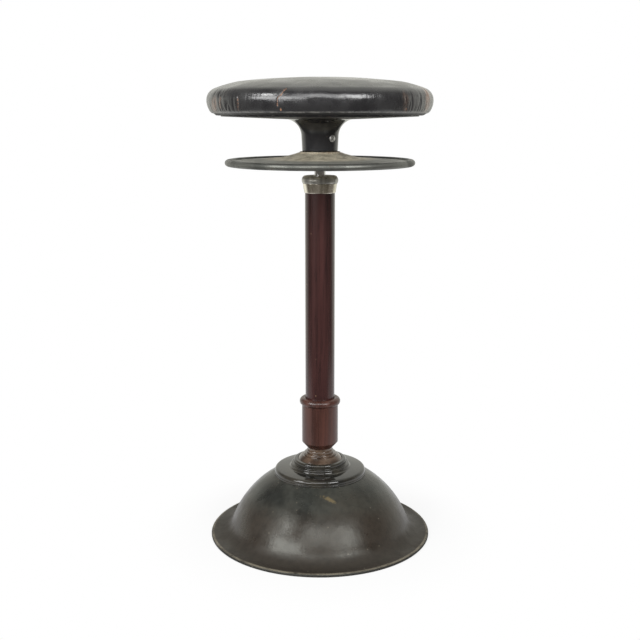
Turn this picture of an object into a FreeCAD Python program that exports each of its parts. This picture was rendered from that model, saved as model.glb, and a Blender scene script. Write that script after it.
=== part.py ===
import FreeCAD, Part
import math
import os
import re
import Sketcher

# Stool with a leaning column on a bell base: millimetres, +Z up, origin on the floor under the column.

# Driving sizes: each is one cell of the sheet.
sizes = {
    # bell
    "brim_width": 9.4,
    "brim_height": 5.0,
    "rim_round": 3.0,
    "rim_break": 1.0,
    "foot_width": 18.0,
    "dome_radius": 149.5,
    "dome_drop": 33.7,
    "flare_radius": 26.0,
    "bell_wall": 6.0,
    "crown_plate": 7.6,
    # clearances
    "run_gap": 0.3,
    "shaft_gap": 0.05,
    # ball joint
    "ball_radius": 43.0,
    "joint_drop": 2.0,
    "lip_inset": 8.7,
    "cup_floor": 2.7,
    "cup_mouth": 18.0,
    "cup_flange_thickness": 7.0,
    "pin_radius": 5.0,
    "pin_sink": 3.0,
    "lean_slot_angle": 9.5,
    # collar
    "collar_radius": 72.0,
    "collar_lip": 3.0,
    "collar_lip_step": 1.0,
    "collar_flange": 10.2,
    "collar_shoulder": 5.0,
    "collar_web_rise": 1.0,
    "collar_web_round": 4.0,
    "collar_step": 4.5,
    "collar_step_height": 17.5,
    "collar_step_round": 2.0,
    "collar_wall": 2.3,
    "lip_round": 2.6,
    "collar_screw_inset": 10.0,
    "collar_screw_margin": 0.8,
    "collar_screw_radius": 3.0,
    "collar_screw_bite": 6.0,
    "collar_screw_head": 5.2,
    "collar_screw_head_height": 4.0,
    "collar_screw_break": 0.6,
    # righting spring under the ball
    "tail_radius": 5.0,
    "tail_seat": 12.0,
    "spring_space": 20.0,
    "spring_wire": 4.6,
    "spring_seat_margin": 3.2,
    "spring_turns": 2.25,
    "spring_plate_margin": 2.2,
    "spring_plate_thickness": 3.5,
    "tail_nut_width": 17.0,
    "tail_nut_height": 8.0,
    "tail_end": 3.0,
    # column
    "tube_bore": 13.0,
    "tube_wall": 1.5,
    "tube_seat": 30.0,
    "spigot_wall": 4.5,
    "spigot_length": 30.0,
    "neck_ledge": 2.9,
    "neck_step": 4.2,
    "neck_step_height": 3.6,
    "neck_bead": 1.9,
    "neck_bead_height": 4.7,
    "neck_round": 1.6,
    "neck_groove": 3.6,
    "shaft_wall": 8.0,
    "shaft_seat": 12.0,
    "shaft_length": 341.1,
    "socket_wall": 5.5,
    "socket_length": 80.7,
    "socket_chamfer_land": 0.5,
    "socket_chamfer_height": 9.6,
    "socket_bead": 3.5,
    "socket_bead_height": 11.5,
    "socket_lip": 1.5,
    "ferrule_length": 14.3,
    "ferrule_web": 2.0,
    "ferrule_foot_wall": 1.0,
    "ferrule_mouth_wall": 3.3,
    "ferrule_break": 0.6,
    "cap_height": 11.0,
    "cap_wall": 4.8,
    "cap_foot_wall": 3.6,
    "cap_rim_wall": 1.0,
    "cap_belly": 4.4,
    "cap_dish": 1.6,
    "cap_dish_floor": 3.0,
    "cap_bore_gap": 0.6,
    "cap_thread": 5.0,
    "bush_length": 40.0,
    "buffer_height": 6.0,
    # spindle and its lock
    "spindle_radius": 8.2,
    "height_travel": 150.0,
    "head_length": 68.0,
    "head_floor": 4.0,
    "head_socket": 12.0,
    "chamber_ledge": 0.6,
    "window_height": 24.0,
    "window_width": 7.0,
    "window_rise": 10.0,
    "wedge_angle": 8.0,
    "wedge_radius": 5.0,
    "wedge_overrun": 1.0,
    "wedge_head": 1.5,
    "release_rod_radius": 4.0,
    "release_rod_end": 8.0,
    "release_pin_radius": 2.0,
    "release_pin_sink": 2.0,
    "release_lift": 6.0,
    "release_wire": 1.4,
    "release_coil_gap": 1.2,
    "release_turns": 5.25,
    "thrust_ball_radius": 5.0,
    "groove_depth": 2.4,
    # hand disc
    "disc_gap": 8.0,
    "disc_boss_radius": 17.0,
    "disc_boss_height": 11.0,
    "disc_pin_rise": 9.0,
    "disc_recess_gap": 0.8,
    "disc_recess_floor": 20.5,
    "disc_height": 27.5,
    "disc_step_width": 3.2,
    "disc_step_drop": 2.0,
    "disc_ledge": 4.5,
    "disc_break": 0.8,
    "disc_cone_reach": 23.0,
    "disc_cone_height": 18.5,
    "disc_web": 3.6,
    "disc_radius": 141.0,
    "disc_rim_section": 4.7,
    "disc_rim_height": 11.2,
    # seat
    "hub_clear": 1.5,
    "hub_height": 54.4,
    "hub_radius": 27.6,
    "hub_taper": 1.1,
    "hub_break": 0.8,
    "hub_flare_height": 23.0,
    "hub_flare_radius": 25.0,
    "hub_flare_width": 20.4,
    "hub_underside": 8.1,
    "hub_roof": 6.5,
    "plate_radius": 146.0,
    "plate_edge": 4.0,
    "plate_break": 0.8,
    "hub_screw_rise": 19.0,
    "hub_screw_angle": -49.3,
    "hub_screw_radius": 3.0,
    "hub_screw_head_radius": 5.2,
    "hub_screw_head_height": 3.0,
    "hub_screw_sink": 0.6,
    "hub_screw_dome": 1.0,
    "hub_screw_slot": 1.4,
    "hub_screw_slot_depth": 1.3,
    "hub_screw_slot_angle": 50.0,
    "board_margin": 4.0,
    "board_thickness": 12.0,
    "board_screw_circle": 96.0,
    "board_screw_radius": 2.4,
    "board_screw_head_radius": 5.0,
    "board_screw_head_height": 1.8,
    "board_screw_bite": 8.0,
    "board_screw_sink": 2.0,
    # cushion
    "cushion_overhang": 15.6,
    "cushion_height": 52.6,
    "cushion_waist_height": 19.6,
    "cushion_tuck": 3.2,
    "cushion_tuck_height": 5.0,
    "cushion_tuck_bend": 9.0,
    "cushion_hem_outset": 5.0,
    "cushion_hem_lap": 2.5,
    "cushion_hem": 1.6,
    "cushion_hem_bend": 4.0,
    "cushion_shoulder_inset": 11.1,
    "cushion_shoulder_height": 36.0,
    "cushion_shoulder_bend": 178.0,
    "cushion_crown_inset": 45.6,
    "cushion_crown_height": 45.9,
}

screwCount = 4
shoeCount = 3

# Sizes that follow from the driving ones, as heights above the floor unless named otherwise.
derived = {
    "bell_top": "sqrt(dome_radius^2 - collar_radius^2) - dome_drop",
    "flare_sine": "(brim_height + flare_radius + dome_drop) / (dome_radius + flare_radius)",
    "flare_cosine": "sqrt(1 - flare_sine^2)",
    "brim_start": "(dome_radius + flare_radius) * flare_cosine",
    "base_radius": "brim_start + brim_width",
    "inner_dome": "dome_radius - bell_wall",
    "plate_underside": "bell_top - crown_plate",
    "joint_height": "bell_top - joint_drop",
    "socket_sphere": "ball_radius + run_gap",
    "socket_mouth": "sqrt(socket_sphere^2 - joint_drop^2)",
    "collar_screw_circle": "collar_radius - collar_screw_inset",
    "barrel_radius": "collar_screw_circle - collar_screw_head - collar_screw_margin",
    "cup_flange_radius": "collar_screw_circle + collar_screw_head + collar_screw_margin",
    "cup_flange_foot": "plate_underside - cup_flange_thickness",
    "cup_foot": "joint_height - socket_sphere - cup_floor",
    "pin_reach": "barrel_radius - pin_sink",
    "collar_crown_radius": "sqrt(socket_sphere^2 - (collar_step_height + joint_drop)^2) + collar_wall",
    "collar_step_radius": "collar_crown_radius + collar_step",
    "lip_radius": "ball_radius - lip_inset",
    "lip_height": "joint_height + sqrt(socket_sphere^2 - lip_radius^2)",
    "spring_coil_radius": "cup_mouth + spring_wire / 2 + spring_seat_margin",
    "spring_plate_radius": "spring_coil_radius + spring_wire / 2 + spring_plate_margin",
    "spring_top": "cup_foot - run_gap",
    "spring_foot": "spring_top - spring_space",
    "spring_plate_top": "spring_foot - run_gap",
    "tail_nut_top": "spring_plate_top - spring_plate_thickness",
    "tail_nut_foot": "tail_nut_top - tail_nut_height",
    "ball_foot_top": "joint_height - sqrt(ball_radius^2 - tail_radius^2) + tail_seat",
    "tube_radius": "tube_bore + tube_wall",
    "neck_radius": "tube_radius + spigot_wall",
    "neck_bead_radius": "neck_radius + neck_bead",
    "neck_step_radius": "neck_bead_radius + neck_step",
    "neck_ledge_radius": "neck_step_radius + neck_ledge",
    "neck_ledge_height": "joint_height + sqrt(ball_radius^2 - neck_ledge_radius^2)",
    "neck_step_top": "neck_ledge_height + neck_step_height",
    "neck_foot": "neck_step_top + neck_bead_height",
    "socket_foot": "neck_foot + neck_groove",
    "spigot_top": "socket_foot + spigot_length",
    "tube_foot": "joint_height + tube_seat",
    "shaft_radius": "tube_radius + shaft_wall",
    "socket_radius": "shaft_radius + socket_wall",
    "socket_top": "socket_foot + socket_length",
    "shaft_foot": "socket_top - shaft_seat",
    "shaft_top": "shaft_foot + shaft_length",
    "ferrule_top": "shaft_top + ferrule_web",
    "ferrule_foot": "ferrule_top - ferrule_length",
    "ferrule_foot_radius": "shaft_radius + ferrule_foot_wall",
    "ferrule_mouth_radius": "shaft_radius + ferrule_mouth_wall",
    "cap_top": "ferrule_top + cap_height",
    "cap_bore": "spindle_hole + cap_bore_gap",
    "tube_top": "ferrule_top + cap_thread",
    "bush_foot": "tube_top - bush_length",
    "spindle_hole": "spindle_radius + shaft_gap",
    "spindle_bore": "release_rod_radius + run_gap",
    "chamber_radius": "spindle_radius - chamber_ledge",
    "head_radius": "tube_bore - run_gap",
    "buffer_top": "tube_foot + buffer_height",
    "head_foot": "buffer_top + run_gap",
    "head_top": "head_foot + head_length",
    "chamber_foot": "head_foot + head_floor",
    "spindle_foot": "head_top - head_socket",
    "sleeve_foot": "head_top + height_travel + run_gap",
    "window_foot": "head_foot + window_rise",
    "window_mid": "window_foot + window_height / 2",
    "wedge_slope": "tan(wedge_angle)",
    "wedge_reach": "window_height / 2 + wedge_overrun",
    "wedge_top": "window_mid + wedge_reach",
    "wedge_foot_radius": "wedge_radius - wedge_reach * wedge_slope",
    "wedge_top_radius": "wedge_radius + wedge_reach * wedge_slope",
    "wedge_seat": "wedge_top + wedge_head",
    "release_coil_radius": "release_rod_radius + release_coil_gap + release_wire / 2",
    "release_pin_height": "disc_foot + disc_pin_rise",
    "release_pin_reach": "disc_boss_radius - release_pin_sink",
    "release_rod_top": "release_pin_height + release_rod_end",
    "spindle_bore_top": "release_rod_top + release_lift + release_pin_radius",
    "disc_foot": "cap_top + disc_gap",
    "disc_top": "disc_foot + disc_height",
    "disc_rim_mid": "disc_foot + disc_rim_height",
    "disc_rim_circle": "disc_radius - disc_rim_section",
    "disc_rim_join": "disc_rim_circle - sqrt(disc_rim_section^2 - disc_web^2 / 4)",
    "disc_recess_radius": "hub_foot_radius + disc_recess_gap",
    "disc_step_radius": "disc_recess_radius + disc_step_width",
    "disc_ledge_radius": "disc_step_radius + disc_ledge",
    "disc_ledge_height": "disc_top - disc_step_drop",
    "disc_cone_radius": "disc_ledge_radius + disc_cone_reach",
    "disc_cone_foot": "disc_foot + disc_cone_height",
    "hub_foot_radius": "hub_radius - hub_taper",
    "hub_foot": "disc_foot + disc_recess_floor + release_lift + hub_clear",
    "plate_top": "hub_foot + hub_height",
    "plate_edge_foot": "plate_top - plate_edge",
    "hub_flare_reach": "hub_radius + hub_flare_width",
    "hub_flare_top": "plate_top - hub_underside",
    "hub_flare_foot": "hub_flare_top - hub_flare_height",
    "hub_bore_top": "plate_top - hub_roof",
    "spindle_top": "hub_bore_top - run_gap - thrust_ball_radius",
    "hub_screw_height": "hub_foot + hub_screw_rise",
    "hub_screw_seat": "hub_foot_radius - hub_screw_sink",
    "groove_radius": "spindle_radius - groove_depth",
    "groove_foot": "hub_screw_height - hub_screw_radius - run_gap",
    "groove_top": "hub_screw_height + hub_screw_radius + run_gap",
    "board_radius": "plate_radius + board_margin",
    "board_top": "plate_top + board_thickness",
    "board_screw_seat": "hub_flare_top + board_screw_sink + (plate_edge_foot - hub_flare_top)"
                        " * (board_screw_circle - hub_flare_reach) / (plate_radius - hub_flare_reach)",
    "cushion_foot": "plate_top",
    "cushion_radius": "board_radius + cushion_overhang",
    "cushion_tuck_radius": "cushion_radius - cushion_tuck",
    "cushion_hem_radius": "board_radius + cushion_hem_outset",
    "cushion_hem_reach": "board_radius - cushion_hem_lap",
    "cushion_shoulder_radius": "cushion_radius - cushion_shoulder_inset",
    "cushion_crown_radius": "cushion_radius - cushion_crown_inset",
}

doc = FreeCAD.newDocument("Stool")
sheet = doc.addObject("Spreadsheet::Sheet", "Sizes")
for row, (name, number) in enumerate(sizes.items(), start=1):
    sheet.set(f"A{row}", name)
    sheet.set(f"B{row}", str(number))
    sheet.setAlias(f"B{row}", name)
doc.recompute()

word = re.compile(r"[a-z]\w*")
parts = []
upward = FreeCAD.Vector(0, 0, 1)


def bound(text):
    """The text with every size written as its cell of the sheet."""
    def cell(match):
        name = match.group()
        if name in sizes:
            return "Sizes." + name
        if name in derived:
            return "(" + bound(derived[name]) + ")"
        return name
    return word.sub(cell, str(text))


def size(text):
    """The number that an expression over the sizes comes to."""
    return float(sheet.evalExpression(bound(text)))


def newBody(label, turn="0"):
    """Body of one sub-part, turned about Z by an angle in degrees."""
    body = doc.addObject("PartDesign::Body", label)
    body.Label = label
    body.Placement = FreeCAD.Placement(FreeCAD.Vector(), FreeCAD.Rotation(upward, size(turn)))
    if turn != "0":
        body.setExpression("Placement.Rotation.Angle", bound(turn))
    parts.append(body)
    return body


def origin(body, role):
    return next(item for item in body.Origin.OriginFeatures if item.Role == role)


def newSketch(body, name, plane, across="0", up="0", out="0"):
    """Empty sketch on one of the body's origin planes, moved along the plane and out along its normal."""
    sketch = body.newObject("Sketcher::SketchObject", name)
    sketch.AttachmentSupport = [(origin(body, plane), "")]
    sketch.MapMode = "FlatFace"
    for letter, text in (("x", across), ("y", up), ("z", out)):
        if text != "0":
            sketch.setExpression("AttachmentOffset.Base." + letter, bound(text))
    return sketch


def pinPoint(sketch, edge, end, across, up):
    """Hold one end of an edge at a place given by two expressions."""
    for kind, axis, text in (("DistanceX", -2, across), ("DistanceY", -1, up)):
        if text == "0":
            sketch.addConstraint(Sketcher.Constraint("PointOnObject", edge, end, axis))
            continue
        index = sketch.addConstraint(Sketcher.Constraint(kind, -1, 1, edge, end, size(text)))
        sketch.setExpression(f"Constraints[{index}]", bound(text))


def arcMiddle(start, end, radius, left):
    """Middle of an arc of under half a circle that bulges to the left or the right of the way to its end."""
    way = end - start
    side = FreeCAD.Vector(-way.y, way.x, 0).normalize() * (1 if left else -1)
    return (start + end) * 0.5 - side * math.sqrt(radius ** 2 - (way.Length / 2) ** 2)


def axisMiddle(start, end):
    """Middle of the arc through two points whose middle is on the upright axis."""
    rise = (end.Length ** 2 - start.Length ** 2) / (2 * (end.y - start.y))
    return FreeCAD.Vector(0, rise, 0)


def levelMiddle(start, end):
    """Middle of the arc through two points that stands upright at its wider end."""
    wide, narrow = (start, end) if start.x > end.x else (end, start)
    radius = (end - start).Length ** 2 / (2 * (wide.x - narrow.x))
    return FreeCAD.Vector(wide.x - radius, wide.y, 0)


def addArc(sketch, start, end, left, bend):
    """Arc with a radius of its own, about the upright axis (ball), or upright at its wider end (belly)."""
    if bend == "ball":
        middle = axisMiddle(start, end)
    elif bend == "belly":
        middle = levelMiddle(start, end)
    else:
        middle = arcMiddle(start, end, size(bend), left)
    first, last = (end, start) if left else (start, end)
    angles = [math.atan2(point.y - middle.y, point.x - middle.x) for point in (first, last)]
    circle = Part.Circle(middle, upward, (start - middle).Length)
    edge = sketch.addGeometry(Part.ArcOfCircle(circle, angles[0], angles[1]))
    if bend == "ball":
        sketch.addConstraint(Sketcher.Constraint("PointOnObject", edge, 3, -2))
    elif bend == "belly":
        wider = 1 if (start.x > end.x) != left else 2
        sketch.addConstraint(Sketcher.Constraint("Horizontal", edge, 3, edge, wider))
    else:
        index = sketch.addConstraint(Sketcher.Constraint("Radius", edge, size(bend)))
        sketch.setExpression(f"Constraints[{index}]", bound(bend))
    return (edge, 2, 1) if left else (edge, 1, 2)


def outline(sketch, corners):
    """Closed outline of corners (across, up), or (across, up, side, bend) where an arc leads to the next."""
    places = [FreeCAD.Vector(size(corner[0]), size(corner[1]), 0) for corner in corners]
    ends = []
    for index, corner in enumerate(corners):
        start, end = places[index], places[(index + 1) % len(places)]
        if len(corner) == 2:
            edge = sketch.addGeometry(Part.LineSegment(start, end))
            ends.append((edge, 1, 2))
        else:
            ends.append(addArc(sketch, start, end, corner[2] == "left", corner[3]))
    for index, corner in enumerate(corners):
        edge, first, last = ends[index]
        following = ends[(index + 1) % len(ends)]
        sketch.addConstraint(Sketcher.Constraint("Coincident", edge, last, following[0], following[1]))
        pinPoint(sketch, edge, first, corner[0], corner[1])


def rectangle(sketch, halfWide, halfHigh):
    """Rectangle about the sketch's origin."""
    outline(sketch, [
        (halfWide, "-(" + halfHigh + ")"),
        (halfWide, halfHigh),
        ("-(" + halfWide + ")", halfHigh),
        ("-(" + halfWide + ")", "-(" + halfHigh + ")"),
    ])


def circleAt(sketch, across, up, radius):
    middle = FreeCAD.Vector(size(across), size(up), 0)
    edge = sketch.addGeometry(Part.Circle(middle, upward, size(radius)))
    index = sketch.addConstraint(Sketcher.Constraint("Radius", edge, size(radius)))
    sketch.setExpression(f"Constraints[{index}]", bound(radius))
    pinPoint(sketch, edge, 3, across, up)


def revolve(body, sketch, axis="V_Axis"):
    solid = body.newObject("PartDesign::Revolution", sketch.Name + "_turning")
    solid.Profile = sketch
    solid.ReferenceAxis = (sketch, [axis])
    solid.Angle = 360.0
    return solid


def turned(label, corners, turn="0"):
    """Body turned about Z from an outline of radii and heights."""
    body = newBody(label, turn)
    sketch = newSketch(body, label + "_profile", "XZ_Plane")
    outline(sketch, corners)
    revolve(body, sketch)
    return body


def pocket(body, name, sketch, depth, side="One side", backwards=False):
    """Cut to a depth, which must take something away."""
    doc.recompute()
    before = body.Shape.Volume
    cut = body.newObject("PartDesign::Pocket", name)
    cut.Profile = sketch
    cut.Type = "Length"
    cut.SideType = side
    cut.Reversed = backwards
    cut.setExpression("Length", bound(depth))
    doc.recompute()
    if body.Shape.Volume > before - 1e-3:
        raise RuntimeError(name + " cuts nothing")
    return cut


def around(body, name, features, count):
    """The features repeated round Z."""
    pattern = body.newObject("PartDesign::PolarPattern", name)
    pattern.Originals = features
    pattern.Axis = (origin(body, "Z_Axis"), [""])
    pattern.Angle = 360.0
    pattern.Occurrences = count
    body.Tip = pattern
    return pattern


def helix(coilRadius, foot, top, turns):
    """Helix about Z as a wire of biarcs, two to each quarter turn."""
    steps = max(1, round(4 * turns))
    rise = (top - foot) / (2 * math.pi * turns)

    def place(angle):
        return FreeCAD.Vector(coilRadius * math.cos(angle), coilRadius * math.sin(angle), foot + rise * angle)

    def heading(angle):
        return FreeCAD.Vector(-coilRadius * math.sin(angle), coilRadius * math.cos(angle), rise).normalize()

    def arc(start, corner, end):
        middle = (start + end) * 0.5
        half = (end - start).Length / 2
        lean = corner - middle
        quarter = math.atan2(lean.Length, half) / 2
        return Part.Arc(start, middle + lean.normalize() * (half * math.tan(quarter)), end).toShape()

    edges = []
    for step in range(steps):
        begin, finish = (2 * math.pi * turns * (step + part) / steps for part in (0, 1))
        start, end = place(begin), place(finish)
        out, back = heading(begin), heading(finish)
        chord = end - start
        spread = 2 * (1 - out.dot(back))
        along = chord.dot(out + back)
        reach = (math.sqrt(along ** 2 + spread * chord.dot(chord)) - along) / spread
        cornerOut, cornerBack = start + out * reach, end - back * reach
        joint = (cornerOut + cornerBack) * 0.5
        edges += [arc(start, cornerOut, joint), arc(joint, cornerBack, end)]
    return Part.Wire(edges), place(0), heading(0)


def coil(label, wireSize, coilRadius, foot, top, turns):
    """Spring of round wire that stands between two heights, with its least gap to itself printed."""
    wire = size(wireSize)
    path, start, heading = helix(size(coilRadius), size(foot) + wire / 2, size(top) - wire / 2, size(turns))
    section = Part.Wire(Part.Circle(start, heading, wire / 2).toShape())
    tube = Part.BRepOffsetAPI.MakePipeShell(path)
    tube.add(section)
    tube.build()
    tube.makeSolid()
    spring = doc.addObject("Part::Feature", label)
    spring.Label = label
    spring.Shape = tube.shape()
    spring.Placement = FreeCAD.Placement()
    parts.append(spring)
    samples = round(48 * size(turns))
    points = path.discretize(Number=samples)
    apart = samples // round(2 * size(turns))
    least = min((points[late] - points[early]).Length
                for early in range(samples) for late in range(early + apart, samples))
    print(f"{label}: least gap to itself {least - wire:.2f} mm")
    return spring


def bellBase():
    body = turned("bell_base", [
        ("barrel_radius", "bell_top"),
        ("barrel_radius", "plate_underside"),
        ("sqrt(inner_dome^2 - (plate_underside + dome_drop)^2)", "plate_underside", "left", "ball"),
        ("inner_dome * flare_cosine", "inner_dome * flare_sine - dome_drop", "right",
         "flare_radius + bell_wall"),
        ("base_radius - foot_width", "0"),
        ("base_radius - rim_break", "0"),
        ("base_radius", "rim_break"),
        ("base_radius", "brim_height - rim_round", "right", "rim_round"),
        ("base_radius - rim_round", "brim_height"),
        ("brim_start", "brim_height", "left", "flare_radius"),
        ("dome_radius * flare_cosine", "dome_radius * flare_sine - dome_drop", "right", "ball"),
        ("collar_radius", "bell_top"),
    ])
    holes = newSketch(body, "bell_screw_hole", "XY_Plane", out="bell_top")
    circleAt(holes, "collar_screw_circle * cos(45)", "collar_screw_circle * sin(45)", "collar_screw_radius")
    cut = pocket(body, "bell_screw_drilling", holes, "crown_plate")
    around(body, "bell_screw_holes", [cut], screwCount)


def pinSeat(body, name):
    """Round seat along X for the cross pin, at the ball's middle."""
    sketch = newSketch(body, name, "YZ_Plane")
    circleAt(sketch, "0", "joint_height", "pin_radius + shaft_gap")
    pocket(body, name + "_boring", sketch, "2 * (pin_reach + run_gap)", "Symmetric")


def socketCup():
    body = turned("socket_cup", [
        ("socket_mouth", "bell_top", "left", "ball"),
        ("cup_mouth", "joint_height - sqrt(socket_sphere^2 - cup_mouth^2)"),
        ("cup_mouth", "cup_foot"),
        ("spring_plate_radius", "cup_foot"),
        ("barrel_radius", "cup_flange_foot"),
        ("cup_flange_radius", "cup_flange_foot"),
        ("cup_flange_radius", "plate_underside"),
        ("barrel_radius", "plate_underside"),
        ("barrel_radius", "bell_top"),
    ])
    pinSeat(body, "cup_pin_seat")
    holes = newSketch(body, "cup_screw_hole", "XY_Plane", out="plate_underside")
    circleAt(holes, "collar_screw_circle * cos(45)", "collar_screw_circle * sin(45)", "collar_screw_radius")
    cut = pocket(body, "cup_screw_drilling", holes, "cup_flange_thickness")
    around(body, "cup_screw_holes", [cut], screwCount)


def socketCollar():
    edge = "collar_radius - collar_lip_step"
    web = "bell_top + collar_flange + collar_web_rise"
    step = "bell_top + collar_step_height"
    body = turned("socket_collar", [
        ("socket_mouth", "bell_top"),
        ("collar_radius", "bell_top"),
        ("collar_radius", "bell_top + collar_lip"),
        (edge, "bell_top + collar_lip"),
        (edge, "bell_top + collar_flange - collar_shoulder", "right", "collar_shoulder"),
        (edge + " - collar_shoulder", "bell_top + collar_flange"),
        ("collar_step_radius + collar_web_round", web, "left", "collar_web_round"),
        ("collar_step_radius", web + " + collar_web_round"),
        ("collar_step_radius", step + " - collar_step_round", "right", "collar_step_round"),
        ("collar_step_radius - collar_step_round", step),
        ("collar_crown_radius", step),
        ("collar_crown_radius", "lip_height - lip_round", "right", "lip_round"),
        ("collar_crown_radius - lip_round", "lip_height"),
        ("lip_radius", "lip_height", "left", "ball"),
    ])
    pinSeat(body, "collar_pin_seat")
    holes = newSketch(body, "collar_screw_hole", "XY_Plane", out="bell_top")
    circleAt(holes, "collar_screw_circle * cos(45)", "collar_screw_circle * sin(45)", "collar_screw_radius")
    cut = pocket(body, "collar_screw_drilling", holes, "collar_screw_bite", backwards=True)
    around(body, "collar_screw_holes", [cut], screwCount)


def collarScrews():
    body = newBody("collar_screws", "45")
    sketch = newSketch(body, "collar_screw", "XZ_Plane", across="collar_screw_circle")
    head = "cup_flange_foot - collar_screw_head_height"
    outline(sketch, [
        ("0", head),
        ("collar_screw_head - collar_screw_break", head),
        ("collar_screw_head", head + " + collar_screw_break"),
        ("collar_screw_head", "cup_flange_foot"),
        ("collar_screw_radius", "cup_flange_foot"),
        ("collar_screw_radius", "bell_top + collar_screw_bite"),
        ("0", "bell_top + collar_screw_bite"),
    ])
    screw = revolve(body, sketch)
    around(body, "collar_screws_round", [screw], screwCount)


def crossPin():
    body = newBody("cross_pin")
    sketch = newSketch(body, "cross_pin_section", "YZ_Plane")
    circleAt(sketch, "0", "joint_height", "pin_radius")
    pin = body.newObject("PartDesign::Pad", "cross_pin_pad")
    pin.Profile = sketch
    pin.SideType = "Symmetric"
    pin.setExpression("Length", bound("2 * pin_reach"))


def ballFoot():
    body = turned("ball_foot", [
        ("0", "ball_foot_top"),
        ("tail_radius", "ball_foot_top"),
        ("tail_radius", "joint_height - sqrt(ball_radius^2 - tail_radius^2)", "right", "ball"),
        ("ball_radius", "joint_height", "right", "ball"),
        ("neck_ledge_radius", "neck_ledge_height"),
        ("neck_step_radius", "neck_ledge_height"),
        ("neck_step_radius", "neck_step_top - neck_round", "right", "neck_round"),
        ("neck_step_radius - neck_round", "neck_step_top"),
        ("neck_bead_radius", "neck_step_top"),
        ("neck_bead_radius", "neck_foot - neck_round", "right", "neck_round"),
        ("neck_bead_radius - neck_round", "neck_foot"),
        ("neck_radius", "neck_foot"),
        ("neck_radius", "spigot_top"),
        ("tube_radius", "spigot_top"),
        ("tube_radius", "tube_foot"),
        ("0", "tube_foot"),
    ])
    slot = newSketch(body, "lean_slot", "XZ_Plane")
    half = "(pin_radius + run_gap) / cos(lean_slot_angle)"
    edge = half + " + ball_radius * tan(lean_slot_angle)"
    outline(slot, [
        ("ball_radius", "joint_height - (" + edge + ")"),
        ("ball_radius", "joint_height + " + edge),
        ("0", "joint_height + " + half),
        ("-ball_radius", "joint_height + " + edge),
        ("-ball_radius", "joint_height - (" + edge + ")"),
        ("0", "joint_height - " + half),
    ])
    pocket(body, "lean_slot_milling", slot, "2 * (pin_radius + shaft_gap)", "Symmetric")


def rightingSpring():
    turned("tail_stud", [
        ("0", "tail_nut_foot - tail_end"),
        ("tail_radius", "tail_nut_foot - tail_end"),
        ("tail_radius", "ball_foot_top"),
        ("0", "ball_foot_top"),
    ])
    turned("spring_plate", [
        ("tail_radius", "tail_nut_top"),
        ("spring_plate_radius", "tail_nut_top"),
        ("spring_plate_radius", "spring_plate_top"),
        ("tail_radius", "spring_plate_top"),
    ])
    body = newBody("tail_nut")
    sketch = newSketch(body, "tail_nut_outline", "XY_Plane", out="tail_nut_foot")
    corner = "tail_nut_width / sqrt(3)"
    outline(sketch, [
        (corner, "0"),
        (corner + " / 2", "tail_nut_width / 2"),
        ("-" + corner + " / 2", "tail_nut_width / 2"),
        ("-" + corner, "0"),
        ("-" + corner + " / 2", "-tail_nut_width / 2"),
        (corner + " / 2", "-tail_nut_width / 2"),
    ])
    circleAt(sketch, "0", "0", "tail_radius")
    nut = body.newObject("PartDesign::Pad", "tail_nut_pad")
    nut.Profile = sketch
    nut.setExpression("Length", bound("tail_nut_height"))
    coil("centring_spring", "spring_wire", "spring_coil_radius", "spring_foot", "spring_top", "spring_turns")


def lowerSocket():
    turned("lower_socket", [
        ("neck_radius", "socket_foot"),
        ("neck_radius + socket_chamfer_land", "socket_foot"),
        ("socket_radius", "socket_foot + socket_chamfer_height"),
        ("socket_radius", "socket_top - socket_bead_height", "right", "belly"),
        ("socket_radius + socket_bead", "socket_top - socket_bead_height / 2", "right", "belly"),
        ("shaft_radius + socket_lip", "socket_top"),
        ("shaft_radius", "socket_top"),
        ("shaft_radius", "shaft_foot"),
        ("tube_radius", "shaft_foot"),
        ("tube_radius", "spigot_top"),
        ("neck_radius", "spigot_top"),
    ])


def column():
    turned("column_shaft", [
        ("tube_radius", "shaft_foot"),
        ("shaft_radius", "shaft_foot"),
        ("shaft_radius", "shaft_top"),
        ("tube_radius", "shaft_top"),
    ])
    turned("lift_tube", [
        ("tube_bore", "tube_foot"),
        ("tube_radius", "tube_foot"),
        ("tube_radius", "tube_top"),
        ("tube_bore", "tube_top"),
    ])
    turned("column_ferrule", [
        ("tube_radius", "shaft_top"),
        ("shaft_radius", "shaft_top"),
        ("shaft_radius", "ferrule_foot"),
        ("ferrule_foot_radius - ferrule_break", "ferrule_foot"),
        ("ferrule_foot_radius", "ferrule_foot + ferrule_break"),
        ("ferrule_mouth_radius", "ferrule_top - ferrule_break"),
        ("ferrule_mouth_radius - ferrule_break", "ferrule_top"),
        ("tube_radius", "ferrule_top"),
    ])
    turned("gland_cap", [
        ("tube_radius", "ferrule_top"),
        ("shaft_radius + cap_foot_wall", "ferrule_top", "right", "belly"),
        ("shaft_radius + cap_wall", "ferrule_top + cap_belly", "right", "belly"),
        ("shaft_radius + cap_rim_wall", "cap_top"),
        ("cap_bore + cap_dish_floor", "cap_top - cap_dish"),
        ("cap_bore", "cap_top - cap_dish"),
        ("cap_bore", "tube_top"),
        ("tube_radius", "tube_top"),
    ])
    turned("guide_bush", [
        ("spindle_hole", "bush_foot"),
        ("tube_bore", "bush_foot"),
        ("tube_bore", "tube_top"),
        ("spindle_hole", "tube_top"),
    ])
    turned("limit_sleeve", [
        ("spindle_hole + run_gap", "sleeve_foot"),
        ("tube_bore", "sleeve_foot"),
        ("tube_bore", "bush_foot"),
        ("spindle_hole + run_gap", "bush_foot"),
    ])
    turned("tube_buffer", [
        ("0", "tube_foot"),
        ("tube_bore", "tube_foot"),
        ("tube_bore", "buffer_top"),
        ("0", "buffer_top"),
    ])


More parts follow.
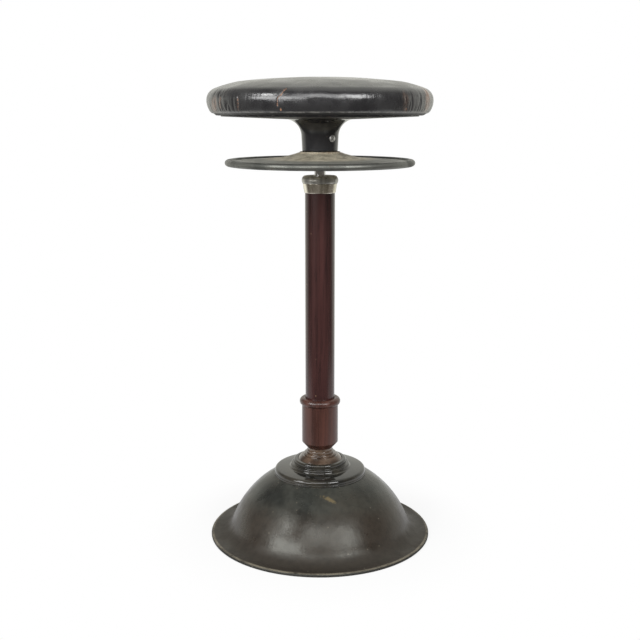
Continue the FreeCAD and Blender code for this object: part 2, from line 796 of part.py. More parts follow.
def spindle():
    body = turned("spindle", [
        ("spindle_bore", "spindle_foot"),
        ("spindle_radius", "spindle_foot"),
        ("spindle_radius", "groove_foot"),
        ("groove_radius", "groove_foot"),
        ("groove_radius", "groove_top"),
        ("spindle_radius", "groove_top"),
        ("spindle_radius", "spindle_top"),
        ("thrust_ball_radius", "spindle_top", "left", "ball"),
        ("0", "spindle_top - thrust_ball_radius"),
        ("0", "spindle_bore_top"),
        ("spindle_bore", "spindle_bore_top"),
    ])
    slot = newSketch(body, "release_slot", "YZ_Plane")
    wide = "release_pin_radius + run_gap"
    outline(slot, [
        (wide, "release_pin_height - (" + wide + ")"),
        (wide, "release_pin_height + release_lift + " + wide),
        ("-(" + wide + ")", "release_pin_height + release_lift + " + wide),
        ("-(" + wide + ")", "release_pin_height - (" + wide + ")"),
    ])
    pocket(body, "release_slot_milling", slot, "4 * spindle_radius", "Symmetric")
    ball = doc.addObject("Part::Sphere", "thrust_ball")
    ball.Label = "thrust_ball"
    ball.setExpression("Radius", bound("thrust_ball_radius"))
    ball.setExpression("Placement.Base.z", bound("spindle_top"))
    parts.append(ball)


def lockHead():
    body = turned("lock_head", [
        ("0", "head_foot"),
        ("head_radius", "head_foot"),
        ("head_radius", "head_top"),
        ("spindle_radius", "head_top"),
        ("spindle_radius", "spindle_foot"),
        ("chamber_radius", "spindle_foot"),
        ("chamber_radius", "chamber_foot"),
        ("0", "chamber_foot"),
    ])
    window = newSketch(body, "shoe_window", "YZ_Plane")
    half = "window_width / 2"
    outline(window, [
        (half, "window_foot"),
        (half, "window_foot + window_height"),
        ("-" + half, "window_foot + window_height"),
        ("-" + half, "window_foot"),
    ])
    cut = pocket(body, "shoe_window_milling", window, "2 * tube_bore", backwards=True)
    around(body, "shoe_windows", [cut], shoeCount)


def lockShoes():
    """Shoes that fill the windows, round outside to suit the tube and tapered inside to suit the wedge."""
    gap = size("run_gap")
    middle = size("window_mid")
    half = size("window_height") / 2 - gap
    slope = size("wedge_slope")
    outer = size("tube_bore") - gap
    inner = size("wedge_radius") + gap
    wide = size("window_width") - 2 * gap
    back = wide / 2 / math.tan(math.pi / shoeCount) + size("release_lift") * slope + gap
    foot = FreeCAD.Vector(0, 0, middle - half)
    drum = Part.makeCylinder(outer, 2 * half, foot, upward)
    taper = Part.makeCone(inner - half * slope, inner + half * slope, 2 * half, foot, upward)
    bar = Part.makeBox(outer, wide, 2 * half, FreeCAD.Vector(back, -wide / 2, middle - half))
    for index in range(shoeCount):
        shoe = doc.addObject("Part::Feature", f"lock_shoe_{index + 1}")
        shoe.Label = f"lock_shoe_{index + 1}"
        shoe.Shape = drum.cut(taper).common(bar)
        turn = FreeCAD.Rotation(upward, 360.0 * index / shoeCount)
        shoe.Placement = FreeCAD.Placement(FreeCAD.Vector(), turn)
        parts.append(shoe)


def release():
    turned("release_rod", [
        ("0", "window_mid - wedge_reach"),
        ("wedge_foot_radius", "window_mid - wedge_reach"),
        ("wedge_top_radius", "wedge_top"),
        ("wedge_top_radius", "wedge_seat"),
        ("release_rod_radius", "wedge_seat"),
        ("release_rod_radius", "release_rod_top"),
        ("0", "release_rod_top"),
    ])
    rod = parts[-1]
    hole = newSketch(rod, "rod_pin_hole", "YZ_Plane")
    circleAt(hole, "0", "release_pin_height", "release_pin_radius")
    pocket(rod, "rod_pin_boring", hole, "4 * release_rod_radius", "Symmetric")
    body = newBody("release_pin")
    sketch = newSketch(body, "release_pin_section", "YZ_Plane")
    circleAt(sketch, "0", "release_pin_height", "release_pin_radius")
    pin = body.newObject("PartDesign::Pad", "release_pin_pad")
    pin.Profile = sketch
    pin.SideType = "Symmetric"
    pin.setExpression("Length", bound("2 * release_pin_reach"))
    coil("release_spring", "release_wire", "release_coil_radius", "wedge_seat + run_gap",
         "spindle_foot - run_gap", "release_turns")


def releaseDisc():
    body = turned("release_disc", [
        ("spindle_hole", "disc_foot"),
        ("disc_boss_radius - disc_break", "disc_foot"),
        ("disc_boss_radius", "disc_foot + disc_break"),
        ("disc_boss_radius", "disc_foot + disc_boss_height"),
        ("disc_cone_radius", "disc_cone_foot - disc_web"),
        ("disc_rim_join", "disc_rim_mid - disc_web / 2", "right", "disc_rim_section"),
        ("disc_rim_circle", "disc_rim_mid - disc_rim_section", "right", "disc_rim_section"),
        ("disc_radius", "disc_rim_mid", "right", "disc_rim_section"),
        ("disc_rim_circle", "disc_rim_mid + disc_rim_section", "right", "disc_rim_section"),
        ("disc_rim_join", "disc_rim_mid + disc_web / 2"),
        ("disc_cone_radius", "disc_cone_foot"),
        ("disc_ledge_radius", "disc_ledge_height - disc_break"),
        ("disc_ledge_radius - disc_break", "disc_ledge_height"),
        ("disc_step_radius", "disc_ledge_height"),
        ("disc_step_radius", "disc_top - disc_break"),
        ("disc_step_radius - disc_break", "disc_top"),
        ("disc_recess_radius", "disc_top"),
        ("disc_recess_radius", "disc_foot + disc_recess_floor"),
        ("spindle_hole", "disc_foot + disc_recess_floor"),
    ])
    hole = newSketch(body, "disc_pin_hole", "YZ_Plane")
    circleAt(hole, "0", "release_pin_height", "release_pin_radius")
    pocket(body, "disc_pin_boring", hole, "2 * release_pin_reach", "Symmetric")


def seatPlate():
    body = turned("seat_plate", [
        ("spindle_hole", "hub_foot"),
        ("hub_foot_radius - hub_break", "hub_foot"),
        ("hub_foot_radius", "hub_foot + hub_break"),
        ("hub_radius", "hub_flare_foot", "left", "hub_flare_radius"),
        ("hub_flare_reach", "hub_flare_top"),
        ("plate_radius - plate_break", "plate_edge_foot"),
        ("plate_radius", "plate_edge_foot + plate_break"),
        ("plate_radius", "plate_top"),
        ("0", "plate_top"),
        ("0", "hub_bore_top"),
        ("spindle_hole", "hub_bore_top"),
    ], "hub_screw_angle")
    hole = newSketch(body, "hub_screw_hole", "YZ_Plane")
    circleAt(hole, "0", "hub_screw_height", "hub_screw_radius")
    pocket(body, "hub_screw_boring", hole, "2 * hub_radius", backwards=True)
    face = newSketch(body, "hub_screw_face", "YZ_Plane", out="hub_screw_seat")
    circleAt(face, "0", "hub_screw_height", "hub_screw_head_radius")
    pocket(body, "hub_screw_facing", face, "hub_radius", backwards=True)
    holes = newSketch(body, "board_screw_hole", "XY_Plane", out="plate_top")
    circleAt(holes, "board_screw_circle", "0", "board_screw_radius")
    drilling = pocket(body, "board_screw_drilling", holes, "hub_underside")
    faces = newSketch(body, "board_screw_face", "XY_Plane", out="board_screw_seat")
    circleAt(faces, "board_screw_circle", "0", "board_screw_head_radius")
    facing = pocket(body, "board_screw_facing", faces, "hub_underside")
    around(body, "board_screw_holes", [drilling, facing], screwCount)


def hubScrew():
    """Slotted screw along the hub's radius, its nose in the spindle's groove."""
    body = newBody("hub_screw", "hub_screw_angle")
    sketch = newSketch(body, "hub_screw_profile", "XZ_Plane", up="hub_screw_height")
    sketch.AttachmentOffset = FreeCAD.Placement(FreeCAD.Vector(), FreeCAD.Rotation(upward, -90))
    crown = "hub_screw_seat + hub_screw_head_height"
    outline(sketch, [
        ("0", "groove_radius + run_gap"),
        ("hub_screw_radius", "groove_radius + run_gap"),
        ("hub_screw_radius", "hub_screw_seat"),
        ("hub_screw_head_radius", "hub_screw_seat"),
        ("hub_screw_head_radius", crown + " - hub_screw_dome", "right", "ball"),
        ("0", crown),
    ])
    revolve(body, sketch)
    slot = newSketch(body, "hub_screw_slot_outline", "YZ_Plane", up="hub_screw_height", out=crown)
    slot.setExpression("AttachmentOffset.Rotation.Angle", bound("hub_screw_slot_angle"))
    rectangle(slot, "hub_screw_head_radius", "hub_screw_slot / 2")
    pocket(body, "hub_screw_slotting", slot, "hub_screw_slot_depth")


def board():
    body = turned("seat_board", [
        ("0", "plate_top"),
        ("board_radius", "plate_top"),
        ("board_radius", "board_top"),
        ("0", "board_top"),
    ], "hub_screw_angle")
    holes = newSketch(body, "board_pilot_hole", "XY_Plane", out="plate_top")
    circleAt(holes, "board_screw_circle", "0", "board_screw_radius")
    cut = pocket(body, "board_pilot_drilling", holes, "board_screw_bite", backwards=True)
    around(body, "board_pilot_holes", [cut], screwCount)
    body = newBody("board_screws", "hub_screw_angle")
    sketch = newSketch(body, "board_screw", "XZ_Plane", across="board_screw_circle")
    outline(sketch, [
        ("0", "board_screw_seat - board_screw_head_height", "right", "ball"),
        ("board_screw_head_radius", "board_screw_seat"),
        ("board_screw_radius", "board_screw_seat"),
        ("board_screw_radius", "plate_top + board_screw_bite"),
        ("0", "plate_top + board_screw_bite"),
    ])
    screw = revolve(body, sketch)
    around(body, "board_screws_round", [screw], screwCount)


def cushion():
    """Leather pad over the board: flat where it rests, a hem under the board, drawn-in sides and a crown."""
    shoulderRise = "cushion_foot + cushion_shoulder_height"
    crownRise = "cushion_foot + cushion_crown_height"
    turned("seat_cushion", [
        ("0", "board_top"),
        ("board_radius", "board_top"),
        ("board_radius", "cushion_foot"),
        ("cushion_hem_reach", "cushion_foot"),
        ("cushion_hem_reach", "cushion_foot - cushion_hem"),
        ("cushion_hem_radius - cushion_hem", "cushion_foot - cushion_hem", "right", "cushion_hem_bend"),
        ("cushion_hem_radius", "cushion_foot", "right", "cushion_tuck_bend"),
        ("cushion_tuck_radius", "cushion_foot + cushion_tuck_height", "right", "belly"),
        ("cushion_radius", "cushion_foot + cushion_waist_height", "right", "belly"),
        ("cushion_shoulder_radius", shoulderRise, "right", "cushion_shoulder_bend"),
        ("cushion_crown_radius", crownRise, "right", "ball"),
        ("0", "cushion_foot + cushion_height"),
    ])


def writeParts():
    """Check every object of the document, then write one file for each sub-part."""
    doc.recompute()
    failed = [item.Name for item in doc.Objects if {"Invalid", "Error"} & set(item.State)]
    for part in parts:
        if part.Shape.isNull() or not part.Shape.isValid() or not part.Shape.Solids:
            failed.append(part.Label)
    if failed:
        raise RuntimeError("not sound: " + ", ".join(failed))
    os.makedirs("parts", exist_ok=True)
    for part in parts:
        part.Shape.exportStep("parts/" + part.Label + ".step")
        box = part.Shape.BoundBox
        print(f"{part.Label}: {len(part.Shape.Solids)} solids, {part.Shape.Volume / 1000:.1f} cm3,"
              f" z {box.ZMin:.1f} to {box.ZMax:.1f}")


for build in (bellBase, socketCup, socketCollar, collarScrews, crossPin, ballFoot, rightingSpring,
              lowerSocket, column, spindle, lockHead, lockShoes, release, releaseDisc, seatPlate,
              hubScrew, board, cushion):
    build()
writeParts()
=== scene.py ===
import math

import bmesh
import bpy
import numpy as np
from mathutils import Matrix, Vector, noise
from mathutils.bvhtree import BVHTree


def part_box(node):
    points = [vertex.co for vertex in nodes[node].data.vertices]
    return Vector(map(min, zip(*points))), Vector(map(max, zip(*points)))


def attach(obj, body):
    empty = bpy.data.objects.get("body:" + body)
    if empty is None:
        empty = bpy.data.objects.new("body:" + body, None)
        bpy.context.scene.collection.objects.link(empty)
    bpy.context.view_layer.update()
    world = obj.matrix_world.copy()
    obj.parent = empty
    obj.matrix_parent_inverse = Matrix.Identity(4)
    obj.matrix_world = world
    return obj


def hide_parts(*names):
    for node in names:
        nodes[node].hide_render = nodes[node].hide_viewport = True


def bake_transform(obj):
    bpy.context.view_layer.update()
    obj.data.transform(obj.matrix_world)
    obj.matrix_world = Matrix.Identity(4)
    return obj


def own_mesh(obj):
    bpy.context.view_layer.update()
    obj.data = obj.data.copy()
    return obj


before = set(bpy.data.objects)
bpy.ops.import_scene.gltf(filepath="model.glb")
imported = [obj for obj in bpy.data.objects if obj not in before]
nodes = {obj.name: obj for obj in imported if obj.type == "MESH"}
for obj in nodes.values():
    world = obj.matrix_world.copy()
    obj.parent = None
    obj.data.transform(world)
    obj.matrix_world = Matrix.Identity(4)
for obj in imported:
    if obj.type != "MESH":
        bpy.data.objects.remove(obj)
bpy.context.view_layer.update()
scene = bpy.context.scene
scene.view_settings.view_transform = "Standard"
print("frame loaded:", len(nodes), "nodes")

# camera: the photograph looks straight at the column from a little under the seat's height
photoView = {"away": 1.530, "height": 0.661, "tilt": 78.25, "lens": 57.3, "sensor": 36.0}


def setCamera():
    lens = bpy.data.cameras.new("photoCamera")
    lens.lens = photoView["lens"]
    lens.sensor_width = photoView["sensor"]
    eye = bpy.data.objects.new("photoCamera", lens)
    eye.location = (0, -photoView["away"], photoView["height"])
    eye.rotation_euler = (math.radians(photoView["tilt"]), 0, 0)
    scene.collection.objects.link(eye)
    scene.camera = eye


setCamera()
print("camera set")


# node helpers
def setSockets(tree, made, inputs):
    for key, value in inputs.items():
        socket = made.inputs[key]
        if isinstance(value, bpy.types.NodeSocket):
            tree.links.new(value, socket)
        else:
            socket.default_value = value


def addNode(tree, kind, inputs=None, **settings):
    made = tree.nodes.new(kind)
    for name, value in settings.items():
        setattr(made, name, value)
    setSockets(tree, made, inputs or {})
    return made


def calc(tree, operation, *values):
    made = addNode(tree, "ShaderNodeMath", dict(enumerate(values)), operation=operation)
    return made.outputs[0]


def times(tree, first, *others):
    for other in others:
        first = calc(tree, "MULTIPLY", first, other)
    return first


def most(tree, first, *others):
    for other in others:
        first = calc(tree, "MAXIMUM", first, other)
    return first


def vectorMath(tree, operation, inputs, output=0):
    return addNode(tree, "ShaderNodeVectorMath", inputs, operation=operation).outputs[output]


def ramp(tree, value, low, high, first=0.0, last=1.0):
    made = addNode(tree, "ShaderNodeMapRange", {"Value": value, "From Min": low, "From Max": high,
                                                "To Min": first, "To Max": last}, interpolation_type="SMOOTHSTEP")
    return made.outputs["Result"]


def mixColour(tree, share, first, second):
    made = addNode(tree, "ShaderNodeMix", {0: share, 6: first, 7: second}, data_type="RGBA")
    return made.outputs[2]


def mixValue(tree, share, first, second):
    return addNode(tree, "ShaderNodeMix", {0: share, 2: first, 3: second}).outputs[0]


def objectPlace(tree, stretch=None):
    place = addNode(tree, "ShaderNodeTexCoord").outputs["Object"]
    if stretch is None:
        return place
    return addNode(tree, "ShaderNodeMapping", {"Vector": place, "Scale": stretch}).outputs["Vector"]


def heightAndReach(tree):
    # height over the floor and distance from the column's axis
    place = addNode(tree, "ShaderNodeSeparateXYZ", {0: objectPlace(tree)}).outputs
    flat = addNode(tree, "ShaderNodeCombineXYZ", {0: place[0], 1: place[1]}).outputs[0]
    return place[2], vectorMath(tree, "LENGTH", {0: flat}, "Value")


def attributeAt(tree, name):
    return addNode(tree, "ShaderNodeAttribute", attribute_name=name).outputs["Fac"]


def noiseAt(tree, place, scale, detail=3.0, roughness=0.55):
    made = addNode(tree, "ShaderNodeTexNoise", {"Vector": place, "Scale": scale, "Detail": detail,
                                                "Roughness": roughness})
    return made.outputs["Fac"]


def newGroup(name, inputs, outputs):
    tree = bpy.data.node_groups.new(name, "ShaderNodeTree")
    kinds = {float: "NodeSocketFloat", tuple: "NodeSocketColor", list: "NodeSocketVector"}
    for label, value in inputs.items():
        tree.interface.new_socket(label, in_out="INPUT", socket_type=kinds[type(value)]).default_value = value
    for label, kind in outputs.items():
        tree.interface.new_socket(label, in_out="OUTPUT", socket_type=kinds[kind])
    return tree, tree.nodes.new("NodeGroupInput").outputs, tree.nodes.new("NodeGroupOutput")


def giveOut(tree, end, results):
    for label, socket in results.items():
        tree.links.new(socket, end.inputs[label])
    return tree


def useGroup(tree, group, inputs):
    made = tree.nodes.new("ShaderNodeGroup")
    made.node_tree = group
    setSockets(tree, made, inputs)
    return made.outputs


# effects that several finishes share
def makeMottle():
    black, white = (0.0, 0.0, 0.0, 1.0), (1.0, 1.0, 1.0, 1.0)
    tree, given, end = newGroup("mottle", {"Dark": black, "Light": white, "Scale": 20.0, "Stretch": [1.0, 1.0, 1.0],
                                           "Low": 0.35, "High": 0.65}, {"Colour": tuple, "Mask": float})
    cloud = noiseAt(tree, objectPlace(tree, given["Stretch"]), given["Scale"], 6.0, 0.6)
    mask = ramp(tree, cloud, given["Low"], given["High"])
    return giveOut(tree, end, {"Colour": mixColour(tree, mask, given["Dark"], given["Light"]), "Mask": mask})


def makeSpecks():
    tree, given, end = newGroup("specks", {"Scale": 200.0, "Share": 0.2, "Size": 0.3}, {"Mask": float})
    cell = addNode(tree, "ShaderNodeTexVoronoi", {"Vector": objectPlace(tree), "Scale": given["Scale"]})
    chosen = calc(tree, "LESS_THAN", addNode(tree, "ShaderNodeSeparateColor", {0: cell.outputs["Color"]}).outputs[0],
                  given["Share"])
    near = ramp(tree, cell.outputs["Distance"], given["Size"], times(tree, given["Size"], 0.5))
    return giveOut(tree, end, {"Mask": times(tree, chosen, near)})


def makeEdgeWear():
    tree, given, end = newGroup("edgeWear", {"Amount": 0.5, "Scale": 90.0}, {"Mask": float})
    edge = attributeAt(tree, "edge")
    patchy = noiseAt(tree, objectPlace(tree), given["Scale"], 5.0, 0.65)
    bareFrom, bareTo = 0.85, 1.05
    bare = ramp(tree, calc(tree, "ADD", patchy, given["Amount"]), bareFrom, bareTo)
    return giveOut(tree, end, {"Mask": times(tree, edge, bare)})


def makeScuffs():
    tree, given, end = newGroup("scuffs", {"Scale": 30.0, "Amount": 0.3}, {"Mask": float})
    masks, drawnOut, faint, full = [], (1.0, 24.0, 24.0), 0.86, 0.9
    for turn in ((0.3, 0.2, 0.5), (1.2, -0.6, 2.1)):  # scratches run two ways
        place = addNode(tree, "ShaderNodeMapping", {"Vector": objectPlace(tree), "Rotation": turn,
                                                    "Scale": drawnOut}).outputs["Vector"]
        line = noiseAt(tree, place, given["Scale"], 2.0, 0.5)
        masks.append(ramp(tree, line, calc(tree, "SUBTRACT", faint, given["Amount"]), full))
    return giveOut(tree, end, {"Mask": most(tree, *masks)})


def makeSkin():
    tree, given, end = newGroup("castSkin", {"Coarse": 60.0, "Fine": 600.0, "Share": 0.3}, {"Height": float})
    place = objectPlace(tree)
    coarse, fine = noiseAt(tree, place, given["Coarse"]), noiseAt(tree, place, given["Fine"])
    return giveOut(tree, end, {"Height": mixValue(tree, given["Share"], coarse, fine)})


def makeTurning():
    tree, given, end = newGroup("turningLines", {"Scale": 900.0, "Wander": 6.0}, {"Height": float})
    height, reach = heightAndReach(tree)
    line = addNode(tree, "ShaderNodeCombineXYZ", {0: times(tree, reach, given["Scale"]),
                                                  1: times(tree, height, given["Scale"])}).outputs[0]
    return giveOut(tree, end, {"Height": noiseAt(tree, line, 1.0, given["Wander"])})


def makeWoodGrain():
    brown = (0.1, 0.05, 0.03, 1.0)
    tree, given, end = newGroup("woodGrain", {"Dark": brown, "Light": brown, "Streaks": 70.0, "Along": [1.0, 1.0, 0.04],
                                              "Pores": 420.0}, {"Colour": tuple, "Height": float, "Gloss": float})
    place = objectPlace(tree, given["Along"])
    streak = noiseAt(tree, place, given["Streaks"], 6.0, 0.62)
    pore = noiseAt(tree, place, given["Pores"], 3.0, 0.6)
    streakRange, poreRange, poreDark, poreHollow = (0.3, 0.72), (0.5, 0.72), -0.55, (0.5, 0.7)
    shade = calc(tree, "MULTIPLY_ADD", ramp(tree, pore, *poreRange), poreDark, ramp(tree, streak, *streakRange))
    tone = mixColour(tree, most(tree, shade, 0.0), given["Dark"], given["Light"])
    height = calc(tree, "SUBTRACT", streak, ramp(tree, pore, *poreHollow))
    return giveOut(tree, end, {"Colour": tone, "Height": height, "Gloss": streak})


mottle, specks, edgeWear, scuffs = makeMottle(), makeSpecks(), makeEdgeWear(), makeScuffs()
castSkin, turningLines, woodGrain = makeSkin(), makeTurning(), makeWoodGrain()
print("shared effects made")


def newMaterial(name, plain):
    material = bpy.data.materials.new(name)
    material.use_nodes = True
    tree = material.node_tree
    shader = tree.nodes["Principled BSDF"]
    setSockets(tree, shader, plain)
    return material, tree, shader


def setBump(tree, shader, height, strength, depth):
    bump = addNode(tree, "ShaderNodeBump", {"Strength": strength, "Distance": depth, "Height": height})
    tree.links.new(bump.outputs["Normal"], shader.inputs["Normal"])


def colour(red, green, blue):
    return (red, green, blue, 1.0)


# black enamel: clean on the seat plate and its hub, browned and rubbed on the socket collar
plateEnamel = {"tone": {"Dark": colour(0.0265, 0.0270, 0.0305), "Light": colour(0.0365, 0.0365, 0.0395), "Scale": 34.0},
               "chip": colour(0.13, 0.085, 0.05), "gloss": (0.07, 0.15), "ripple": 0.05,
               "wear": {"Amount": 0.30, "Scale": 120.0}, "pits": {"Scale": 300.0, "Share": 0.03, "Size": 0.3},
               "dullReach": (0.040, 0.085, 0.0, 0.34)}
collarEnamel = {"tone": {"Dark": colour(0.012, 0.0118, 0.0105), "Light": colour(0.034, 0.0305, 0.0235), "Scale": 34.0},
                "chip": colour(0.10, 0.086, 0.060), "gloss": (0.05, 0.11), "ripple": 0.016,
                "wear": {"Amount": 0.25, "Scale": 120.0}, "pits": {"Scale": 300.0, "Share": 0.02, "Size": 0.3}}
enamelCoat = {"pitShare": 0.7, "scratches": {"Scale": 26.0, "Amount": 0.12}, "bareRough": 0.3,
              "peel": {"Coarse": 70.0, "Fine": 260.0, "Share": 0.25}, "peelDepth": 0.002}


def makeEnamel(name, enamel):
    material, tree, shader = newMaterial(name, {"Specular IOR Level": 0.5})
    tone = useGroup(tree, mottle, enamel["tone"])
    worn = useGroup(tree, edgeWear, enamel["wear"])["Mask"]
    pits = useGroup(tree, specks, enamel["pits"])["Mask"]
    scratched = useGroup(tree, scuffs, enamelCoat["scratches"])["Mask"]
    bare = most(tree, worn, times(tree, pits, enamelCoat["pitShare"]))
    rough = ramp(tree, tone["Mask"], 0.0, 1.0, *enamel["gloss"])
    rough = calc(tree, "MULTIPLY_ADD", most(tree, bare, scratched), enamelCoat["bareRough"], rough)
    if "dullReach" in enamel:
        rough = calc(tree, "ADD", rough, ramp(tree, heightAndReach(tree)[1], *enamel["dullReach"]))
    setSockets(tree, shader, {"Base Color": mixColour(tree, bare, tone["Colour"], enamel["chip"]), "Roughness": rough})
    peel = useGroup(tree, castSkin, enamelCoat["peel"])["Height"]
    setBump(tree, shader, peel, enamel["ripple"], enamelCoat["peelDepth"])
    return material


# brown-black patina on the cast bell: browner towards the brim, dirt in the brim's hollow, the rim's top rubbed bright
# over a lip painted near-black as the shade on the rim's outer face, one long scrape, raw iron inside
patina = {"plain": {"Specular IOR Level": 0.40, "Specular Tint": colour(0.97, 1.0, 0.93)},
          "tone": {"Dark": colour(0.0128, 0.0139, 0.0130), "Light": colour(0.0366, 0.0384, 0.0336), "Scale": 16.0,
                   "Low": 0.34, "High": 0.64},
          "brown": colour(0.035, 0.0265, 0.018), "browning": {"Scale": 7.0, "Low": 0.36, "High": 0.70},
          "brownShare": 0.6, "outer": colour(0.0300, 0.0222, 0.0168), "outerReach": (0.100, 0.126, 0.0, 0.85),
          "grime": colour(0.0245, 0.0190, 0.0148), "grimeRise": (0.024, 0.009), "waver": (60.0, 4.0),
          # the rim's outer face is painted near-black as its shade
          "waverRise": 0.016, "lip": colour(0.006, 0.0055, 0.005), "lipShadeReach": (0.1706, 0.1717, 0.0, 0.85),
          "fine": {"Dark": colour(0.72, 0.72, 0.72), "Light": colour(1.0, 1.0, 1.0), "Scale": 110.0,
                   "Low": 0.3, "High": 0.6},
          "rub": colour(0.150, 0.132, 0.100), "patches": (45.0, 5.0, 0.7), "patchRange": (0.26, 0.58),
          "wear": {"Amount": 0.36, "Scale": 70.0}, "rimReach": (0.1677, 0.1694), "rimRise": (0.0036, 0.0045),
          "lathe": {"Scale": 700.0}, "latheRange": (0.56, 0.68), "latheReach": (0.148, 0.166, 0.0, 0.30),
          "dots": {"Scale": 170.0, "Share": 0.05, "Size": 0.24}, "dotShare": 0.5, "raw": colour(0.030, 0.022, 0.017),
          "gloss": (0.21, 0.31), "scratches": {"Scale": 22.0, "Amount": 0.18}, "scratchRough": 0.18, "dullRough": 0.24,
          "handled": (24.0, 4.0, 0.6), "handledRough": (0.34, 0.66, 0.0, 0.10),
          "skin": {"Coarse": 70.0, "Fine": 420.0, "Share": 0.2}, "brushUp": (0.0, 0.0, 0.45),
          "strokes": (46.0, 4.0, 0.6), "strokeShare": 0.24, "bump": (0.14, 0.003)}
scrape = {"colour": colour(0.125, 0.096, 0.050), "at": (0.015, -0.089, 0.086), "turn": (0.0, 14.8, -20.6),
          "size": (0.019, 0.0046, 0.0046), "ragged": (240.0, 5.0, 0.75), "raggedBy": 2.4, "range": (0.25, 1.05)}


def addScrape(tree, place, skin):
    along = addNode(tree, "ShaderNodeMapping", {"Vector": place, "Location": scrape["at"], "Scale": scrape["size"],
                                                "Rotation": [math.radians(a) for a in scrape["turn"]]},
                    vector_type="TEXTURE").outputs["Vector"]
    inward = calc(tree, "SUBTRACT", 0.0, vectorMath(tree, "LENGTH", {0: along}, "Value"))
    mark = calc(tree, "MULTIPLY_ADD", noiseAt(tree, place, *scrape["ragged"]), scrape["raggedBy"], inward)
    return mixColour(tree, ramp(tree, mark, *scrape["range"]), skin, scrape["colour"])


def makePatina():
    material, tree, shader = newMaterial("bellPatina", patina["plain"])
    place = objectPlace(tree)
    height, reach = heightAndReach(tree)
    tone = useGroup(tree, mottle, patina["tone"])
    browned = times(tree, useGroup(tree, mottle, patina["browning"])["Mask"], patina["brownShare"])
    skin = mixColour(tree, browned, tone["Colour"], patina["brown"])
    skin = mixColour(tree, ramp(tree, reach, *patina["outerReach"]), skin, patina["outer"])
    wavering = calc(tree, "MULTIPLY_ADD", noiseAt(tree, place, *patina["waver"]), patina["waverRise"],
                    calc(tree, "SUBTRACT", height, patina["waverRise"] / 2))
    grime = ramp(tree, wavering, *patina["grimeRise"])
    skin = mixColour(tree, grime, skin, patina["grime"])
    fine = useGroup(tree, mottle, patina["fine"])["Colour"]
    skin = addNode(tree, "ShaderNodeMix", {0: 1.0, 6: skin, 7: fine}, data_type="RGBA",
                   blend_type="MULTIPLY").outputs[2]
    # painted shade: the rim's outer face is darkened near-black
    skin = mixColour(tree, ramp(tree, reach, *patina["lipShadeReach"]), skin, patina["lip"])
    patchy = ramp(tree, noiseAt(tree, place, *patina["patches"]), *patina["patchRange"])
    worn = useGroup(tree, edgeWear, patina["wear"])["Mask"]
    rim = times(tree, ramp(tree, reach, *patina["rimReach"]), ramp(tree, height, *patina["rimRise"]), patchy)
    rings = ramp(tree, useGroup(tree, turningLines, patina["lathe"])["Height"], *patina["latheRange"])
    rings = times(tree, rings, patchy, ramp(tree, reach, *patina["latheReach"]))
    dots = times(tree, useGroup(tree, specks, patina["dots"])["Mask"], patina["dotShare"])
    skin = mixColour(tree, most(tree, worn, rim, dots, rings), skin, patina["rub"])
    skin = addScrape(tree, place, skin)
    raw = attributeAt(tree, "inner")
    rough = ramp(tree, tone["Mask"], 0.0, 1.0, *patina["gloss"])
    scratched = useGroup(tree, scuffs, patina["scratches"])["Mask"]
    rough = calc(tree, "MULTIPLY_ADD", scratched, patina["scratchRough"], rough)
    rough = calc(tree, "ADD", rough, ramp(tree, noiseAt(tree, place, *patina["handled"]), *patina["handledRough"]))
    rough = calc(tree, "MULTIPLY_ADD", most(tree, grime, raw), patina["dullRough"], rough)
    setSockets(tree, shader, {"Base Color": mixColour(tree, raw, skin, patina["raw"]), "Roughness": rough})
    outward = vectorMath(tree, "NORMALIZE", {0: vectorMath(tree, "MULTIPLY", {0: place, 1: (1.0, 1.0, 0.0)})})
    brushed = vectorMath(tree, "MULTIPLY_ADD", {0: place, 1: patina["brushUp"], 2: outward})
    strokes = noiseAt(tree, brushed, *patina["strokes"])
    skinHeight = useGroup(tree, castSkin, patina["skin"])["Height"]
    setBump(tree, shader, calc(tree, "MULTIPLY_ADD", strokes, patina["strokeShare"], skinHeight), *patina["bump"])
    return material


# nickel plate: the disc's is dulled, with a bare beige cone inside its grey rim; the cap is greyed, the ferrule shines
discPlate = {"dark": colour(0.080, 0.083, 0.075), "light": colour(0.155, 0.158, 0.144),
             "pit": colour(0.05, 0.042, 0.03),
             "gloss": (0.44, 0.60), "pits": 0.12, "metal": 0.75, "rust": colour(0.16, 0.075, 0.03),
             "zones": {"dish": {"reach": (0.134, 0.124), "metal": 0.35, "scale": 40.0,
                                "dark": colour(0.145, 0.147, 0.128), "light": colour(0.24, 0.238, 0.208)},
                       "cone": {"reach": (0.094, 0.062), "metal": 0.20, "scale": 75.0,
                                "dark": colour(0.36, 0.318, 0.232), "light": colour(0.74, 0.675, 0.52)}},
             "rustReach": (0.037, 0.031, 0.0, 0.75), "stretch": (1.0, 1.0, 1.0), "clouds": 28.0}
glandPlate = {"dark": colour(0.25, 0.245, 0.223), "light": colour(0.47, 0.46, 0.42), "pit": colour(0.05, 0.042, 0.03),
              "gloss": (0.30, 0.42), "pits": 0.10, "metal": 0.62, "rust": colour(0.12, 0.07, 0.03),
              "stretch": (1.0, 1.0, 0.06), "clouds": 130.0}
capPlate = {"dark": colour(0.36, 0.33, 0.255), "light": colour(0.84, 0.80, 0.70), "pit": colour(0.07, 0.05, 0.03),
            "gloss": (0.12, 0.26), "pits": 0.06, "metal": 0.95, "rust": colour(0.16, 0.08, 0.03),
            "stretch": (1.0, 1.0, 0.06), "clouds": 130.0}
nickelAge = {"spread": {"Low": 0.3, "High": 0.62}, "pit": {"Scale": 330.0, "Size": 0.36},
             "dust": {"Scale": 900.0, "Size": 0.4},
             "dustMore": 1.5, "dustShare": 0.6, "stain": {"Scale": 60.0, "Low": 0.6, "High": 0.78}, "stainShare": 0.35,
             "ragged": (150.0, 5.0, 0.7), "raggedRange": (0.40, 0.62), "markRough": 0.22, "zoneRough": 0.06,
             "lines": {"Scale": 1400.0}, "lineShare": 0.25, "bump": (0.25, 0.0006)}


